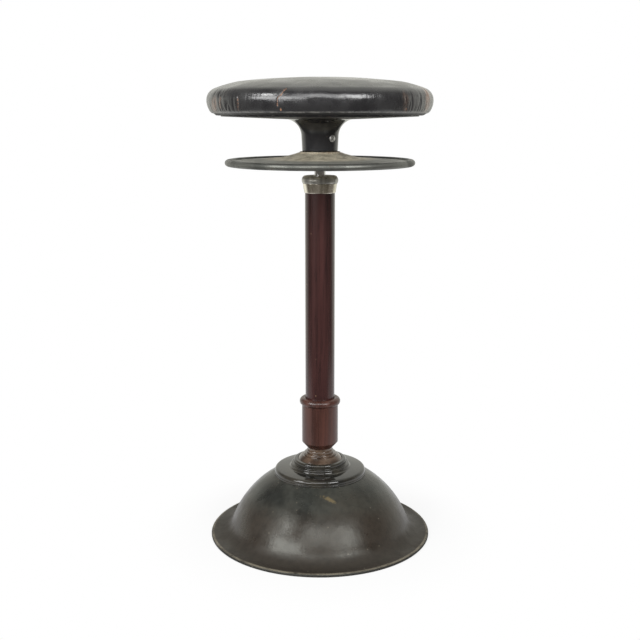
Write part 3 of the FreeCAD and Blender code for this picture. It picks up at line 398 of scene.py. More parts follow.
def makeNickel(name, plate):
    material, tree, shader = newMaterial(name, {"Metallic": plate["metal"]})
    reach = heightAndReach(tree)[1]
    spread = {"Stretch": plate["stretch"], **nickelAge["spread"]}
    tone = useGroup(tree, mottle, {"Dark": plate["dark"], "Light": plate["light"], "Scale": plate["clouds"], **spread})
    face, metal = tone["Colour"], plate["metal"]
    rough = ramp(tree, tone["Mask"], 1.0, 0.0, *plate["gloss"])
    pits = useGroup(tree, specks, {"Share": plate["pits"], **nickelAge["pit"]})["Mask"]
    dust = useGroup(tree, specks, {"Share": plate["pits"] * nickelAge["dustMore"], **nickelAge["dust"]})["Mask"]
    marks = most(tree, pits, times(tree, dust, nickelAge["dustShare"]))
    stain = times(tree, useGroup(tree, mottle, nickelAge["stain"])["Mask"], nickelAge["stainShare"])
    if "rustReach" in plate:
        ragged = ramp(tree, noiseAt(tree, objectPlace(tree), *nickelAge["ragged"]), *nickelAge["raggedRange"])
        stain = most(tree, stain, times(tree, ramp(tree, reach, *plate["rustReach"]), ragged))
    rough = calc(tree, "MULTIPLY_ADD", most(tree, marks, stain), nickelAge["markRough"], rough)
    inZone = None
    for zone in plate.get("zones", {}).values():
        inZone = ramp(tree, reach, *zone["reach"])
        bare = useGroup(tree, mottle, {"Dark": zone["dark"], "Light": zone["light"], "Scale": zone["scale"], **spread})
        face = mixColour(tree, inZone, face, bare["Colour"])
        metal = mixValue(tree, inZone, metal, zone["metal"])
    if inZone is not None:
        rough = calc(tree, "MULTIPLY_ADD", inZone, nickelAge["zoneRough"], rough)
    face = mixColour(tree, marks, mixColour(tree, stain, face, plate["rust"]), plate["pit"])
    setSockets(tree, shader, {"Base Color": face, "Metallic": metal, "Roughness": rough})
    lines = times(tree, useGroup(tree, turningLines, nickelAge["lines"])["Height"], nickelAge["lineShare"])
    setBump(tree, shader, calc(tree, "SUBTRACT", lines, marks), *nickelAge["bump"])
    return material


# polished red-brown wood of the column, and the paler one of the seat board
columnWood = {"dark": colour(0.0225, 0.0086, 0.0084), "light": colour(0.0520, 0.0182, 0.0168), "gloss": (0.17, 0.26),
              "along": (1.0, 1.0, 0.045)}
socketWood = {"dark": colour(0.034, 0.0122, 0.0090), "light": colour(0.0765, 0.0272, 0.0192), "gloss": (0.25, 0.36),
              "along": (1.0, 1.0, 0.045)}
boardWood = {"dark": colour(0.12, 0.065, 0.03), "light": colour(0.30, 0.18, 0.09), "gloss": (0.55, 0.7),
             "along": (0.06, 1.0, 1.0)}
woodAge = {"nicks": {"Scale": 150.0, "Share": 0.05, "Size": 0.2}, "nickShare": 0.5,
           "wear": {"Amount": 0.25, "Scale": 140.0},
           "pale": colour(0.24, 0.15, 0.09), "glossRange": (0.3, 0.7), "bump": (0.10, 0.0006)}


def makeWood(name, wood):
    material, tree, shader = newMaterial(name, {"Specular IOR Level": 0.5})
    grain = useGroup(tree, woodGrain, {"Dark": wood["dark"], "Light": wood["light"], "Along": wood["along"]})
    nicks = times(tree, useGroup(tree, specks, woodAge["nicks"])["Mask"], woodAge["nickShare"])
    worn = most(tree, nicks, useGroup(tree, edgeWear, woodAge["wear"])["Mask"])
    setSockets(tree, shader, {"Base Color": mixColour(tree, worn, grain["Colour"], woodAge["pale"]),
                              "Roughness": ramp(tree, grain["Gloss"], *woodAge["glossRange"], *wood["gloss"])})
    setBump(tree, shader, grain["Height"], *woodAge["bump"])
    return material


# plain metals, cast iron and rubber of the works inside
steel = {"dark": colour(0.60, 0.60, 0.59), "light": colour(0.88, 0.875, 0.86), "gloss": (0.18, 0.32), "metal": 0.60}
blackSteel = {"dark": colour(0.05, 0.047, 0.044), "light": colour(0.13, 0.12, 0.11), "gloss": (0.34, 0.52),
              "metal": 1.0}
oldBrass = {"dark": colour(0.30, 0.19, 0.07), "light": colour(0.62, 0.43, 0.18), "gloss": (0.24, 0.4), "metal": 1.0}
metalFace = {"clouds": {"Scale": 45.0, "Stretch": (1.0, 1.0, 0.35)},
             "pits": {"Scale": 500.0, "Share": 0.06, "Size": 0.3},
             "pitShare": 0.7, "lines": {"Scale": 2200.0}, "bump": (0.12, 0.0004)}


def makeMetal(name, metal):
    material, tree, shader = newMaterial(name, {"Metallic": metal["metal"]})
    tone = useGroup(tree, mottle, {"Dark": metal["dark"], "Light": metal["light"], **metalFace["clouds"]})
    pits = times(tree, useGroup(tree, specks, metalFace["pits"])["Mask"], metalFace["pitShare"])
    setSockets(tree, shader, {"Base Color": mixColour(tree, pits, tone["Colour"], metal["dark"]),
                              "Roughness": ramp(tree, tone["Mask"], 1.0, 0.0, *metal["gloss"])})
    setBump(tree, shader, useGroup(tree, turningLines, metalFace["lines"])["Height"], *metalFace["bump"])
    return material


roughIron = {"dark": colour(0.018, 0.014, 0.011), "light": colour(0.075, 0.045, 0.028), "rough": (0.62, 0.88),
             "skin": 0.5, "shine": 0.0}
rubber = {"dark": colour(0.012, 0.012, 0.012), "light": colour(0.035, 0.033, 0.031), "rough": (0.6, 0.8), "skin": 0.15,
          "shine": 0.0}
lacquer = {"dark": colour(0.030, 0.018, 0.012), "light": colour(0.095, 0.060, 0.038), "rough": (0.15, 0.28),
           "skin": 0.03, "shine": 0.5}
coatedFace = {"clouds": 40.0, "wear": {"Amount": 0.3, "Scale": 110.0}, "bare": colour(0.2, 0.14, 0.09),
              "coatRough": 0.1, "skin": {"Coarse": 180.0, "Fine": 900.0, "Share": 0.4}, "skinDepth": 0.0015}


def makeCoated(name, coat):
    plain = {"Coat Weight": coat["shine"], "Coat Roughness": coatedFace["coatRough"]}
    material, tree, shader = newMaterial(name, plain)
    tone = useGroup(tree, mottle, {"Dark": coat["dark"], "Light": coat["light"], "Scale": coatedFace["clouds"]})
    worn = useGroup(tree, edgeWear, coatedFace["wear"])["Mask"]
    setSockets(tree, shader, {"Base Color": mixColour(tree, worn, tone["Colour"], coatedFace["bare"]),
                              "Roughness": ramp(tree, tone["Mask"], 0.0, 1.0, *coat["rough"])})
    skin = useGroup(tree, castSkin, coatedFace["skin"])["Height"]
    setBump(tree, shader, skin, coat["skin"], coatedFace["skinDepth"])
    return material


# leather of the seat: black dye, painted paler grey-green on top, worn grey at the foot and on the creases, rubbed
# brown at the ends and where it has split, painted near-black as shade under the turned-in hem
hide = {"tone": {"Dark": colour(0.0120, 0.0121, 0.0140), "Light": colour(0.0245, 0.0245, 0.0258), "Scale": 22.0},
        "shine": 0.85, "gloss": (0.20, 0.31), "wornRough": 0.35,
        "worn": colour(0.24, 0.233, 0.21), "wornAt": (130.0, 5.0, 0.75), "wornRange": (0.40, 0.60),
        "stain": colour(0.21, 0.120, 0.078), "streaks": (210.0, 5.0, 0.7), "streakRange": (0.34, 0.64),
        "streakAlong": (1.0, 1.0, 0.22),
        # the top is painted paler grey-green
        "dust": colour(0.075, 0.074, 0.060), "paleTopFrom": (0.685, 0.697, 0.0, 0.55), "paleTopAt": (30.0, 5.0, 0.65),
        # near-black painted shade under the turned-in hem
        "paleTopRange": (0.25, 0.65), "tuckShade": colour(0.0035, 0.0035, 0.0035),
        "split": colour(0.36, 0.175, 0.092), "splitDark": colour(0.05, 0.020, 0.010), "flesh": (330.0, 4.0, 0.7),
        "fleshRange": (0.36, 0.62), "rags": (380.0, 5.0, 0.75), "raggedBy": 2.2, "splitRange": (0.50, 0.72),
        "pebble": 850.0, "pebbleShare": 0.5, "folds": (260.0, 4.0, 0.6), "foldAlong": (1.0, 1.0, 0.12),
        "foldShare": 0.6, "splitDeep": -0.8, "bump": (0.28, 0.0008)}


def makeLeather():
    material, tree, shader = newMaterial("blackLeather", {"Specular IOR Level": hide["shine"]})
    place = objectPlace(tree)
    # painted shade: near-black under the hem and over the pad's underside
    tuckShaded = attributeAt(tree, "tuckShade")
    tone = useGroup(tree, mottle, hide["tone"])
    rubbed = ramp(tree, noiseAt(tree, place, *hide["wornAt"]), *hide["wornRange"])
    rubbed = times(tree, attributeAt(tree, "worn"), rubbed)
    streaky = ramp(tree, noiseAt(tree, objectPlace(tree, hide["streakAlong"]), *hide["streaks"]), *hide["streakRange"])
    bared = times(tree, attributeAt(tree, "stain"), streaky)
    # paler grey-green painted over the top of the seat
    paleTop = ramp(tree, noiseAt(tree, place, *hide["paleTopAt"]), *hide["paleTopRange"])
    paleTop = times(tree, ramp(tree, heightAndReach(tree)[0], *hide["paleTopFrom"]), paleTop)
    rags = calc(tree, "SUBTRACT", noiseAt(tree, place, *hide["rags"]), 0.5)
    torn = calc(tree, "MULTIPLY_ADD", rags, hide["raggedBy"], attributeAt(tree, "crack"))
    torn = ramp(tree, torn, *hide["splitRange"])
    fleshy = ramp(tree, noiseAt(tree, place, *hide["flesh"]), *hide["fleshRange"])
    face = tone["Colour"]
    for share, over in ((paleTop, hide["dust"]), (bared, hide["stain"]), (tuckShaded, hide["tuckShade"]), (rubbed, hide["worn"]),
                        (torn, mixColour(tree, fleshy, hide["splitDark"], hide["split"]))):
        face = mixColour(tree, share, face, over)
    rough = ramp(tree, tone["Mask"], 0.0, 1.0, *hide["gloss"])
    rough = calc(tree, "MULTIPLY_ADD", most(tree, torn, tuckShaded, rubbed), hide["wornRough"], rough)
    setSockets(tree, shader, {"Base Color": face, "Roughness": rough})
    pebble = addNode(tree, "ShaderNodeTexVoronoi", {"Vector": place, "Scale": hide["pebble"]}, feature="SMOOTH_F1")
    pebble = times(tree, pebble.outputs["Distance"], hide["pebbleShare"])
    folds = times(tree, noiseAt(tree, objectPlace(tree, hide["foldAlong"]), *hide["folds"]), hide["foldShare"])
    grain = calc(tree, "ADD", pebble, folds)
    setBump(tree, shader, calc(tree, "MULTIPLY_ADD", torn, hide["splitDeep"], grain), *hide["bump"])
    return material


finishes = {
    "black_enamel": makeEnamel("blackEnamel", plateEnamel),
    "collarEnamel": makeEnamel("collarEnamel", collarEnamel),
    "bell_iron": makePatina(),
    "worn_nickel": makeNickel("dullNickel", discPlate),
    "capNickel": makeNickel("shinyNickel", capPlate),
    "glandNickel": makeNickel("greyNickel", glandPlate),
    "mahogany": makeWood("columnMahogany", columnWood),
    "socketMahogany": makeWood("socketMahogany", socketWood),
    "board_wood": makeWood("boardWood", boardWood),
    "bright_steel": makeMetal("brightSteel", steel),
    "dark_steel": makeMetal("darkSteel", blackSteel),
    "brass": makeMetal("oldBrass", oldBrass),
    "rough_iron": makeCoated("roughIron", roughIron),
    "buffer_rubber": makeCoated("bufferRubber", rubber),
    "brown_lacquer": makeCoated("brownLacquer", lacquer),
    "black_leather": makeLeather(),
}
print("finishes made:", len(finishes))


# mesh helpers
sectionAt = 11.0  # degrees round from the front where the CAD nodes are cut, clear of their holes
sameSpot = 2e-6   # points of a cut nearer than this are one point
onAxis = 1e-6     # a ring narrower than this is a pole


def link(name, mesh):
    piece = bpy.data.objects.new(name, mesh)
    scene.collection.objects.link(piece)
    return piece


def setAttribute(mesh, name, values):
    layer = mesh.attributes.new(name, "FLOAT", "POINT")
    layer.data.foreach_set("value", np.asarray(values, np.float32))


def bakedMesh(piece):
    return bpy.data.meshes.new_from_object(piece.evaluated_get(bpy.context.evaluated_depsgraph_get()))


def finishPiece(piece, finish, body, *replaced):
    piece.data.materials.clear()
    piece.data.materials.append(finishes[finish])
    piece.data.shade_smooth()
    if body:
        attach(piece, body)
    if replaced:
        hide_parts(*replaced)


def cutOutline(node):
    # half of a turned node's section, as (radius, height) points in order round it
    cut = bmesh.new()
    cut.from_mesh(nodes[node].data)
    bmesh.ops.remove_doubles(cut, verts=cut.verts, dist=sameSpot)
    bmesh.ops.rotate(cut, verts=cut.verts, cent=(0, 0, 0), matrix=Matrix.Rotation(-math.radians(sectionAt), 3, "Z"))
    for side, inner, outer in (((0, 1, 0), True, True), ((1, 0, 0), True, False)):
        everything = cut.verts[:] + cut.edges[:] + cut.faces[:]
        bmesh.ops.bisect_plane(cut, geom=everything, dist=1e-7, plane_co=(0, 0, 0), plane_no=side,
                               clear_inner=inner, clear_outer=outer)
    bmesh.ops.remove_doubles(cut, verts=cut.verts, dist=sameSpot)
    cut.verts.index_update()
    runs, seen = [], set()
    ends = [v for v in cut.verts if len(v.link_edges) == 1]
    for start in ends + list(cut.verts):
        if start.index in seen or not start.link_edges:
            continue
        run, at = [], start
        while at is not None:
            seen.add(at.index)
            run.append((max(at.co.x, 0.0), at.co.z))
            at = next((e.other_vert(at) for e in at.link_edges if e.other_vert(at).index not in seen), None)
        runs.append((run, len(start.link_edges) == 2))
    cut.free()
    run, closed = max(runs, key=lambda found: len(found[0]))
    return np.array(run), closed


def thin(outline, tolerance):
    # keeps the points that the outline needs to stay within the tolerance
    first, way = outline[0], outline[-1] - outline[0]
    off = outline - first
    far = np.hypot(*off.T)
    if np.hypot(*way) > 1e-9:
        far = np.abs(way[0] * off[:, 1] - way[1] * off[:, 0]) / np.hypot(*way)
    split = int(far.argmax())
    if far[split] < tolerance:
        return outline[[0, -1]]
    return np.vstack([thin(outline[:split + 1], tolerance)[:-1], thin(outline[split:], tolerance)])


def thinned(outline, closed, tolerance=8e-6):
    if closed:
        return thin(np.vstack([outline, outline[:1]]), tolerance)[:-1]
    return thin(outline, tolerance)


def soften(outline, closed, radius, sharp=28.0, steps=5, longest=0.42, leadIn=0.15):
    # rounds the sharp corners, and says for each point how much it belongs to an edge; longest is the share of a side
    # that a corner may take, leadIn the share of that before and after it where the wear fades
    points, edge = [], []
    count = len(outline)
    for at in range(count):
        here = outline[at]
        if not closed and at in (0, count - 1):
            points.append(here)
            edge.append(0.0)
            continue
        back, ahead = outline[at - 1] - here, outline[(at + 1) % count] - here
        long = [np.hypot(*back), np.hypot(*ahead)]
        back, ahead = back / long[0], ahead / long[1]
        turn = math.pi - math.acos(np.clip(back @ ahead, -1, 1))
        if math.degrees(turn) < sharp:
            points.append(here)
            edge.append(0.0)
            continue
        reach = min(radius * math.tan(turn / 2), longest * long[0], longest * long[1])
        start, end = here + back * reach, here + ahead * reach
        points.append(start + back * reach * leadIn)
        edge.append(0.0)
        for step in range(steps + 1):
            t = step / steps
            points.append((1 - t) ** 2 * start + 2 * t * (1 - t) * here + t * t * end)
            edge.append(1.0)
        points.append(end + ahead * reach * leadIn)
        edge.append(0.0)
    return np.array(points), np.array(edge)


def turnsOf(segments):
    return np.arange(segments) * 2 * math.pi / segments


def ringCounts(radii, segments):
    return [1 if radius < onAxis else segments for radius in radii]


def ringPoints(outline, turns):
    points = []
    for radius, height in outline:
        ring = [(radius * math.sin(a), -radius * math.cos(a), height) for a in turns]
        points += ring if radius >= onAxis else [(0.0, 0.0, height)]
    return points


def ringFaces(counts, closed):
    # faces between rings of points; a ring of one point is a pole
    starts = np.concatenate([[0], np.cumsum(counts)])
    rounds = max(counts)
    faces = []
    for at in range(len(counts) if closed else len(counts) - 1):
        after = (at + 1) % len(counts)
        for turn in range(rounds):
            corners = [starts[at] + turn % counts[at], starts[at] + (turn + 1) % rounds % counts[at],
                       starts[after] + (turn + 1) % rounds % counts[after], starts[after] + turn % counts[after]]
            corners = list(dict.fromkeys(int(c) for c in corners))
            if len(corners) > 2:
                faces.append(corners)
    return faces


def meshFrom(name, verts, faces):
    mesh = bpy.data.meshes.new(name)
    mesh.from_pydata(verts, [], faces)
    form = bmesh.new()
    form.from_mesh(mesh)
    bmesh.ops.recalc_face_normals(form, faces=form.faces)
    form.to_mesh(mesh)
    form.free()
    return mesh


def revolve(name, outline, closed, segments, marks=None):
    counts = ringCounts(outline[:, 0], segments)
    mesh = meshFrom(name, ringPoints(outline, turnsOf(segments)), ringFaces(counts, closed))
    for label, values in (marks or {}).items():
        setAttribute(mesh, label, np.repeat(values, counts))
    return mesh


# turned pieces that show: the CAD outline with its edges eased as a file or a polishing wheel leaves them
turned = {
    "bell_base": {"body": "base", "finish": "bell_iron", "ease": 0.0013, "segments": 240},
    "socket_collar": {"body": "base", "finish": "collarEnamel", "ease": 0.0009, "segments": 192},
    "lower_socket": {"body": "column", "finish": "socketMahogany", "ease": 0.0008, "segments": 128},
    "column_shaft": {"body": "column", "finish": "mahogany", "ease": 0.0005, "segments": 128},
    "column_ferrule": {"body": "column", "finish": "capNickel", "ease": 0.0007, "segments": 128},
    "gland_cap": {"body": "column", "finish": "glandNickel", "ease": 0.0008, "segments": 128},
    "release_disc": {"body": "release", "finish": "worn_nickel", "ease": 0.0009, "segments": 224},
    "seat_plate": {"body": "seat", "finish": "black_enamel", "ease": 0.0010, "segments": 192},
}


def innerSide(outline, downShare=0.12):
    # 1 on the points whose wall looks down or towards the axis
    way = np.roll(outline, -1, 0) - np.roll(outline, 1, 0)
    area = np.sum(outline[:, 0] * np.roll(outline[:, 1], -1) - np.roll(outline[:, 0], -1) * outline[:, 1])
    out = np.stack([way[:, 1], -way[:, 0]], 1) * np.sign(area)
    return (out[:, 0] * outline[:, 0] + out[:, 1] * downShare < 0).astype(float)


def makeTurned():
    for node, look in turned.items():
        outline, closed = cutOutline(node)
        outline, edge = soften(thinned(outline, closed), closed, look["ease"])
        piece = link(node + "_turned", revolve(node + "_turned", outline, closed, look["segments"], {"edge": edge}))
        if node == "bell_base":
            setAttribute(piece.data, "inner", np.repeat(innerSide(outline), look["segments"]))
        finishPiece(piece, look["finish"], look["body"], node)


makeTurned()
print("turned pieces made:", len(turned))

# the seat: leather drawn over a stuffed pad and turned under the board
# lengths over the board's foot are in mm, places round the seat in degrees from the front
seatPad = {"segments": 960, "steps": ((0.150, 0.0013), (0.118, 0.0024), (0.0, 0.0070)), "fill": 0.8, "sideReach": 162.0,
           "sideFoot": (-1.0, 5.0), "sideTop": (22.0, 41.0),
           "gather": 0.00044, "gatherNoise": (15, 70), "gatherSharp": 9,
           "fineGather": 0.00022, "fineNoise": (36, 60, 5), "fineSharp": 6,
           "gatherLeast": 0.30, "gatherEnds": (0.70, 58, 28), "gatherAt": ((22, 9, 0.45), (57, 8, 0.9), (-52, 8, 0.5)),
           "dent": 0.0003, "dentNoise": (24, 40), "dentFoot": (0, 12), "crackDepth": 0.0008,
           "wornLine": (2.3, 1.2), "wornCore": 0.35, "wornShare": 0.9, "creaseShare": 0.22, "creaseFrom": (40, 70),
           # last pair: heights in mm of the near-black painted shade under the hem
           "creaseDepth": 0.05, "tuckShade": (1.5, 0.7)}
padCloth = {"startIn": 0.002, "lumps": 0.0009, "lumpScale": 26.0, "voxel": 0.005, "pressure": 4.0, "slack": -0.02,
            "frames": 20, "cap": 0.006, "share": 0.25, "keep": 0.0005, "around": 240, "lead": 0.015, "passes": 3}
# splits and rubbed stains: width in mm and strength, then places as (degrees from the front, mm over the board's foot)
splits = [
    (0.65, 0.82, [(-17.1, 32.3), (-17.6, 28.3), (-18.3, 24.8), (-19.8, 21.6), (-19.9, 16.1), (-20.1, 10.9)]),
    (0.5, 0.74, [(-16.2, 33.4), (-17.6, 28.3), (-18.6, 26.0)]),
    (1.0, 0.80, [(-18.5, 7.1), (-18.6, 5.6)]),
    (0.6, 0.62, [(-42.3, 24.3), (-42.3, 14.7), (-43.4, 5.0)]),
    (0.9, 0.50, [(44.8, 22.6), (44.9, 16.0)]),
    (1.2, 0.72, [(46.3, 6.6), (46.5, 5.4)]),
    (1.4, 0.42, [(68.1, 31.5), (65.9, 23.2), (65.1, 16.3), (64.4, 9.4)]),
    (1.0, 0.78, [(118.0, 28.0), (119.5, 17.0), (118.8, 6.0)]),
    (0.9, 0.72, [(-104.0, 31.0), (-106.0, 21.0), (-105.2, 12.0)]),
    (0.8, 0.76, [(179.0, 33.0), (176.8, 25.0), (177.5, 15.0)]),
]
stains = [
    (5.2, 0.90, [(-63.5, 16.0), (-67.0, 5.0)]),
    (1.6, 0.70, [(-56.5, 21.0), (-57.6, 9.5)]),
    (1.6, 0.16, [(-42.3, 22.0), (-43.0, 5.0)]),
    (4.2, 0.24, [(44.8, 25.0), (46.0, 4.0)]),
    (6.2, 1.00, [(69.0, 32.0), (67.2, 23.2), (67.0, 16.3), (67.0, 8.0)]),
    (3.6, 0.80, [(151.0, 20.0), (150.2, 9.0)]),
    (2.8, 0.80, [(-140.0, 18.0), (-141.2, 6.0)]),
]


def padOutline():
    # the CAD outline from the axis under the pad to the axis on top, with its outer part in even rows
    outline, closed = cutOutline("seat_cushion")
    if outline[0][1] > outline[-1][1]:
        outline = outline[::-1]
    outline = thinned(outline, closed, 2e-6)
    hem = int(np.flatnonzero(outline[:, 1] < outline[:, 1].min() + 1e-5)[-1])
    inside, outside = outline[:hem], outline[hem:]
    run = np.concatenate([[0.0], np.cumsum(np.hypot(*np.diff(outside, axis=0).T))])
    stops = [0.0]
    while stops[-1] < run[-1]:
        reach = np.interp(stops[-1], run, outside[:, 0])
        stops.append(stops[-1] + next(step for least, step in seatPad["steps"] if reach >= least))
    stops = np.array(stops) * run[-1] / stops[-1]
    rows = np.stack([np.interp(stops, run, outside[:, side]) for side in (0, 1)], 1)
    rows[-1, 0] = 0.0
    return inside, rows


def outwards(rows):
    way = np.gradient(rows, axis=0)
    out = np.stack([way[:, 1], -way[:, 0]], 1)
    return out / np.hypot(*out.T)[:, None]


def blown(rows, out):
    # how far a cloth cover over uneven stuffing settles from the outline, for each row and direction
    start = np.vstack([[(0.0, rows[0, 1])], rows - out * padCloth["startIn"]])
    start[-1, 0] = 0.0
    mesh = revolve("padStart", start, False, 128)
    for vert in mesh.vertices:
        vert.co += vert.co.normalized() * noise.noise(vert.co * padCloth["lumpScale"]) * padCloth["lumps"]
    cover = link("padCover", mesh.copy())
    remesh = cover.modifiers.new("voxels", "REMESH")
    remesh.mode, remesh.voxel_size = "VOXEL", padCloth["voxel"]
    cover.data = bakedMesh(cover)
    cover.modifiers.clear()
    tacked = cover.vertex_groups.new(name="tacked")
    tacked.add([v.index for v in cover.data.vertices if v.co.z < rows[0, 1] + padCloth["voxel"]], 1.0, "REPLACE")
    before = np.array([v.co for v in cover.data.vertices])
    cloth = cover.modifiers.new("cover", "CLOTH")
    cloth.settings.vertex_group_mass = "tacked"
    cloth.settings.use_pressure = True
    cloth.settings.uniform_pressure_force = padCloth["pressure"]
    cloth.settings.shrink_min = padCloth["slack"]
    cloth.settings.effector_weights.gravity = 0.0
    cloth.point_cache.frame_start, cloth.point_cache.frame_end = 1, padCloth["frames"]
    for step in range(1, padCloth["frames"] + 1):
        scene.frame_set(step)
    after = bakedMesh(cover)
    scene.frame_set(1)
    cover.modifiers.clear()
    move = np.array([v.co for v in after.vertices]) - before
    far = np.maximum(np.linalg.norm(move, axis=1), 1e-9)
    move *= np.minimum(1.0, padCloth["cap"] / far)[:, None]
    after.vertices.foreach_set("co", (before + move).ravel())
    cover.data = after
    finer = cover.modifiers.new("finer", "SUBSURF")
    finer.levels = finer.render_levels = 1
    tree = BVHTree.FromObject(cover, bpy.context.evaluated_depsgraph_get())
    turns = turnsOf(padCloth["around"])
    settled = np.zeros((len(rows), len(turns)))
    lead = padCloth["lead"]
    for row in range(1, len(rows)):
        for turn, angle in enumerate(turns):
            way = Vector((out[row, 0] * math.sin(angle), -out[row, 0] * math.cos(angle), out[row, 1]))
            spot = Vector((rows[row, 0] * math.sin(angle), -rows[row, 0] * math.cos(angle), rows[row, 1]))
            hit = tree.ray_cast(spot + way * lead, -way, 2 * lead)
            settled[row, turn] = lead - hit[3] if hit[0] is not None else 0.0
    bpy.data.objects.remove(cover)
    settled -= settled.mean(1, keepdims=True)
    for _ in range(padCloth["passes"]):
        settled = (np.roll(settled, 1, 1) + settled * 2 + np.roll(settled, -1, 1)) / 4
        settled[1:-1] = (settled[:-2] + settled[1:-1] * 2 + settled[2:]) / 4
    settled[-1] = settled[-1].mean()
    print("cover settled by up to %.1f mm" % (np.abs(settled).max() * 1000))
    return np.clip(settled * padCloth["share"], -padCloth["keep"], padCloth["keep"])


def markAt(marks, degrees, rise):
    # how much each place belongs to a mark: full up to two thirds of its width from the line, 0 from twice its width
    found = np.zeros_like(degrees)
    arc = math.radians(1.0) * seatPad["sideReach"]
    for wide, strength, line in marks:
        for (fromTurn, fromRise), (toTurn, toRise) in zip(line, line[1:]):
            x, z = (degrees - fromTurn + 180) % 360 - 180, rise - fromRise
            wayX, wayZ = (toTurn - fromTurn) * arc, toRise - fromRise
            share = np.clip((x * arc * wayX + z * wayZ) / (wayX ** 2 + wayZ ** 2), 0, 1)
            off = np.hypot(x * arc - wayX * share, z - wayZ * share)
            found = np.maximum(found, strength * np.clip(1.5 - 0.75 * off / wide, 0, 1))
    return found


def smooth(value, low, high):
    t = np.clip((value - low) / (high - low), 0, 1)
    return t * t * (3 - 2 * t)


def ripple(angle, rise, across, along, shift=0):
    return noise.noise(Vector((math.sin(angle) * across, math.cos(angle) * across, shift + rise / along)))


def makeSeatPad():
    inside, rows = padOutline()
    out = outwards(rows)
    segments = seatPad["segments"]
    turns = turnsOf(segments)
    degrees = np.degrees((turns + math.pi) % (2 * math.pi) - math.pi)
    offset = np.zeros((len(rows), segments))
    settled = blown(rows, out)
    coarse = np.linspace(0, 2 * math.pi, padCloth["around"] + 1)
    for row in range(len(rows)):
        offset[row] = np.interp(turns, coarse, np.append(settled[row], settled[row, 0]))
    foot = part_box("seat_plate")[1].z
    rise = np.repeat((rows[:, 1] - foot)[:, None] * 1000, segments, 1)
    turnGrid = np.repeat(degrees[None], len(rows), 0)
    # gathers run up the side from the tacked edge, deepest at the two ends
    side = smooth(rise, *seatPad["sideFoot"]) * (1 - smooth(rise, *seatPad["sideTop"]))
    share, far, near = seatPad["gatherEnds"]
    ends = seatPad["gatherLeast"] + share * smooth(np.abs(np.abs(turnGrid) - 90), far, near)
    for at, wide, share in seatPad["gatherAt"]:
        ends += share * np.exp(-((turnGrid - at) / wide) ** 2)
    folds, fine, dents = (np.zeros_like(offset) for _ in range(3))
    dentsAcross, dentsAlong = seatPad["dentNoise"]
    for row in range(len(rows) - 1):
        for turn, angle in enumerate(turns):
            up = rise[row, turn]
            if side[row, turn] > 0.001:
                folds[row, turn] = 1 - abs(ripple(angle, up, *seatPad["gatherNoise"]))
                fine[row, turn] = 1 - abs(ripple(angle, up, *seatPad["fineNoise"]))
            dents[row, turn] = ripple(angle, up, rows[row, 0] * dentsAcross, dentsAlong)
    folds, fine = folds ** seatPad["gatherSharp"], fine ** seatPad["fineSharp"]
    deep = seatPad["gather"] * folds + seatPad["fineGather"] * fine
    torn, stained = markAt(splits, turnGrid, rise), markAt(stains, turnGrid, rise)
    offset += dents * seatPad["dent"] * smooth(rise, *seatPad["dentFoot"])
    offset -= deep * ends * side + torn * seatPad["crackDepth"]
    middle, reach = seatPad["wornLine"]
    footLine = 1 - smooth(np.abs(rise - middle), reach * seatPad["wornCore"], reach)
    # painted shade under the hem: full below these heights, and over the pad's underside
    tuckShaded = smooth(rise, *seatPad["tuckShade"])
    creased = side * ends * (folds < seatPad["creaseDepth"]) * smooth(np.abs(turnGrid), *seatPad["creaseFrom"])
    worn = np.maximum(footLine * seatPad["wornShare"], creased * seatPad["creaseShare"])
    verts = ringPoints(inside, turns)
    moved = rows[:, None, :] + out[:, None, :] * offset[:, :, None]
    for row in range(len(rows) - 1):
        radius, height = moved[row, :, 0], moved[row, :, 1]
        verts += list(zip(radius * np.sin(turns), -radius * np.cos(turns), height))
    verts.append((0.0, 0.0, rows[-1, 1]))
    faces = ringFaces(ringCounts(np.concatenate([inside[:, 0], rows[:, 0]]), segments), False)
    mesh = meshFrom("seat_cushion_leather", verts, faces)
    early = len(verts) - 1 - (len(rows) - 1) * segments
    marks = {"crack": (torn, 0.0), "worn": (worn, 0.0), "stain": (stained, 0.0), "tuckShade": (tuckShaded, 1.0)}
    for label, (values, under) in marks.items():
        setAttribute(mesh, label, np.concatenate([np.full(early, under), values[:-1].ravel(), [0.0]]))
    pad = link("seat_cushion_leather", mesh)
    finishPiece(pad, "black_leather", "seat", "seat_cushion")


makeSeatPad()
print("seat pad made")

# pieces that repeat or follow a winding, grown by geometry nodes
def newShapeTree(name, inputs):
    tree = bpy.data.node_groups.new(name, "GeometryNodeTree")
    for label, kind in inputs.items():
        tree.interface.new_socket(label, in_out="INPUT", socket_type="NodeSocket" + kind)
    tree.interface.new_socket("Shape", in_out="OUTPUT", socket_type="NodeSocketGeometry")
    return tree, tree.nodes.new("NodeGroupInput").outputs, tree.nodes.new("NodeGroupOutput")


def endShape(tree, end, shape, finish):
    real = addNode(tree, "GeometryNodeRealizeInstances", {"Geometry": shape}).outputs[0]
    painted = addNode(tree, "GeometryNodeSetMaterial", {"Geometry": real, "Material": finish}).outputs[0]
    tree.links.new(painted, end.inputs["Shape"])
    return tree


def upright(tree, height):
    return addNode(tree, "ShaderNodeCombineXYZ", {"Z": height}).outputs[0]


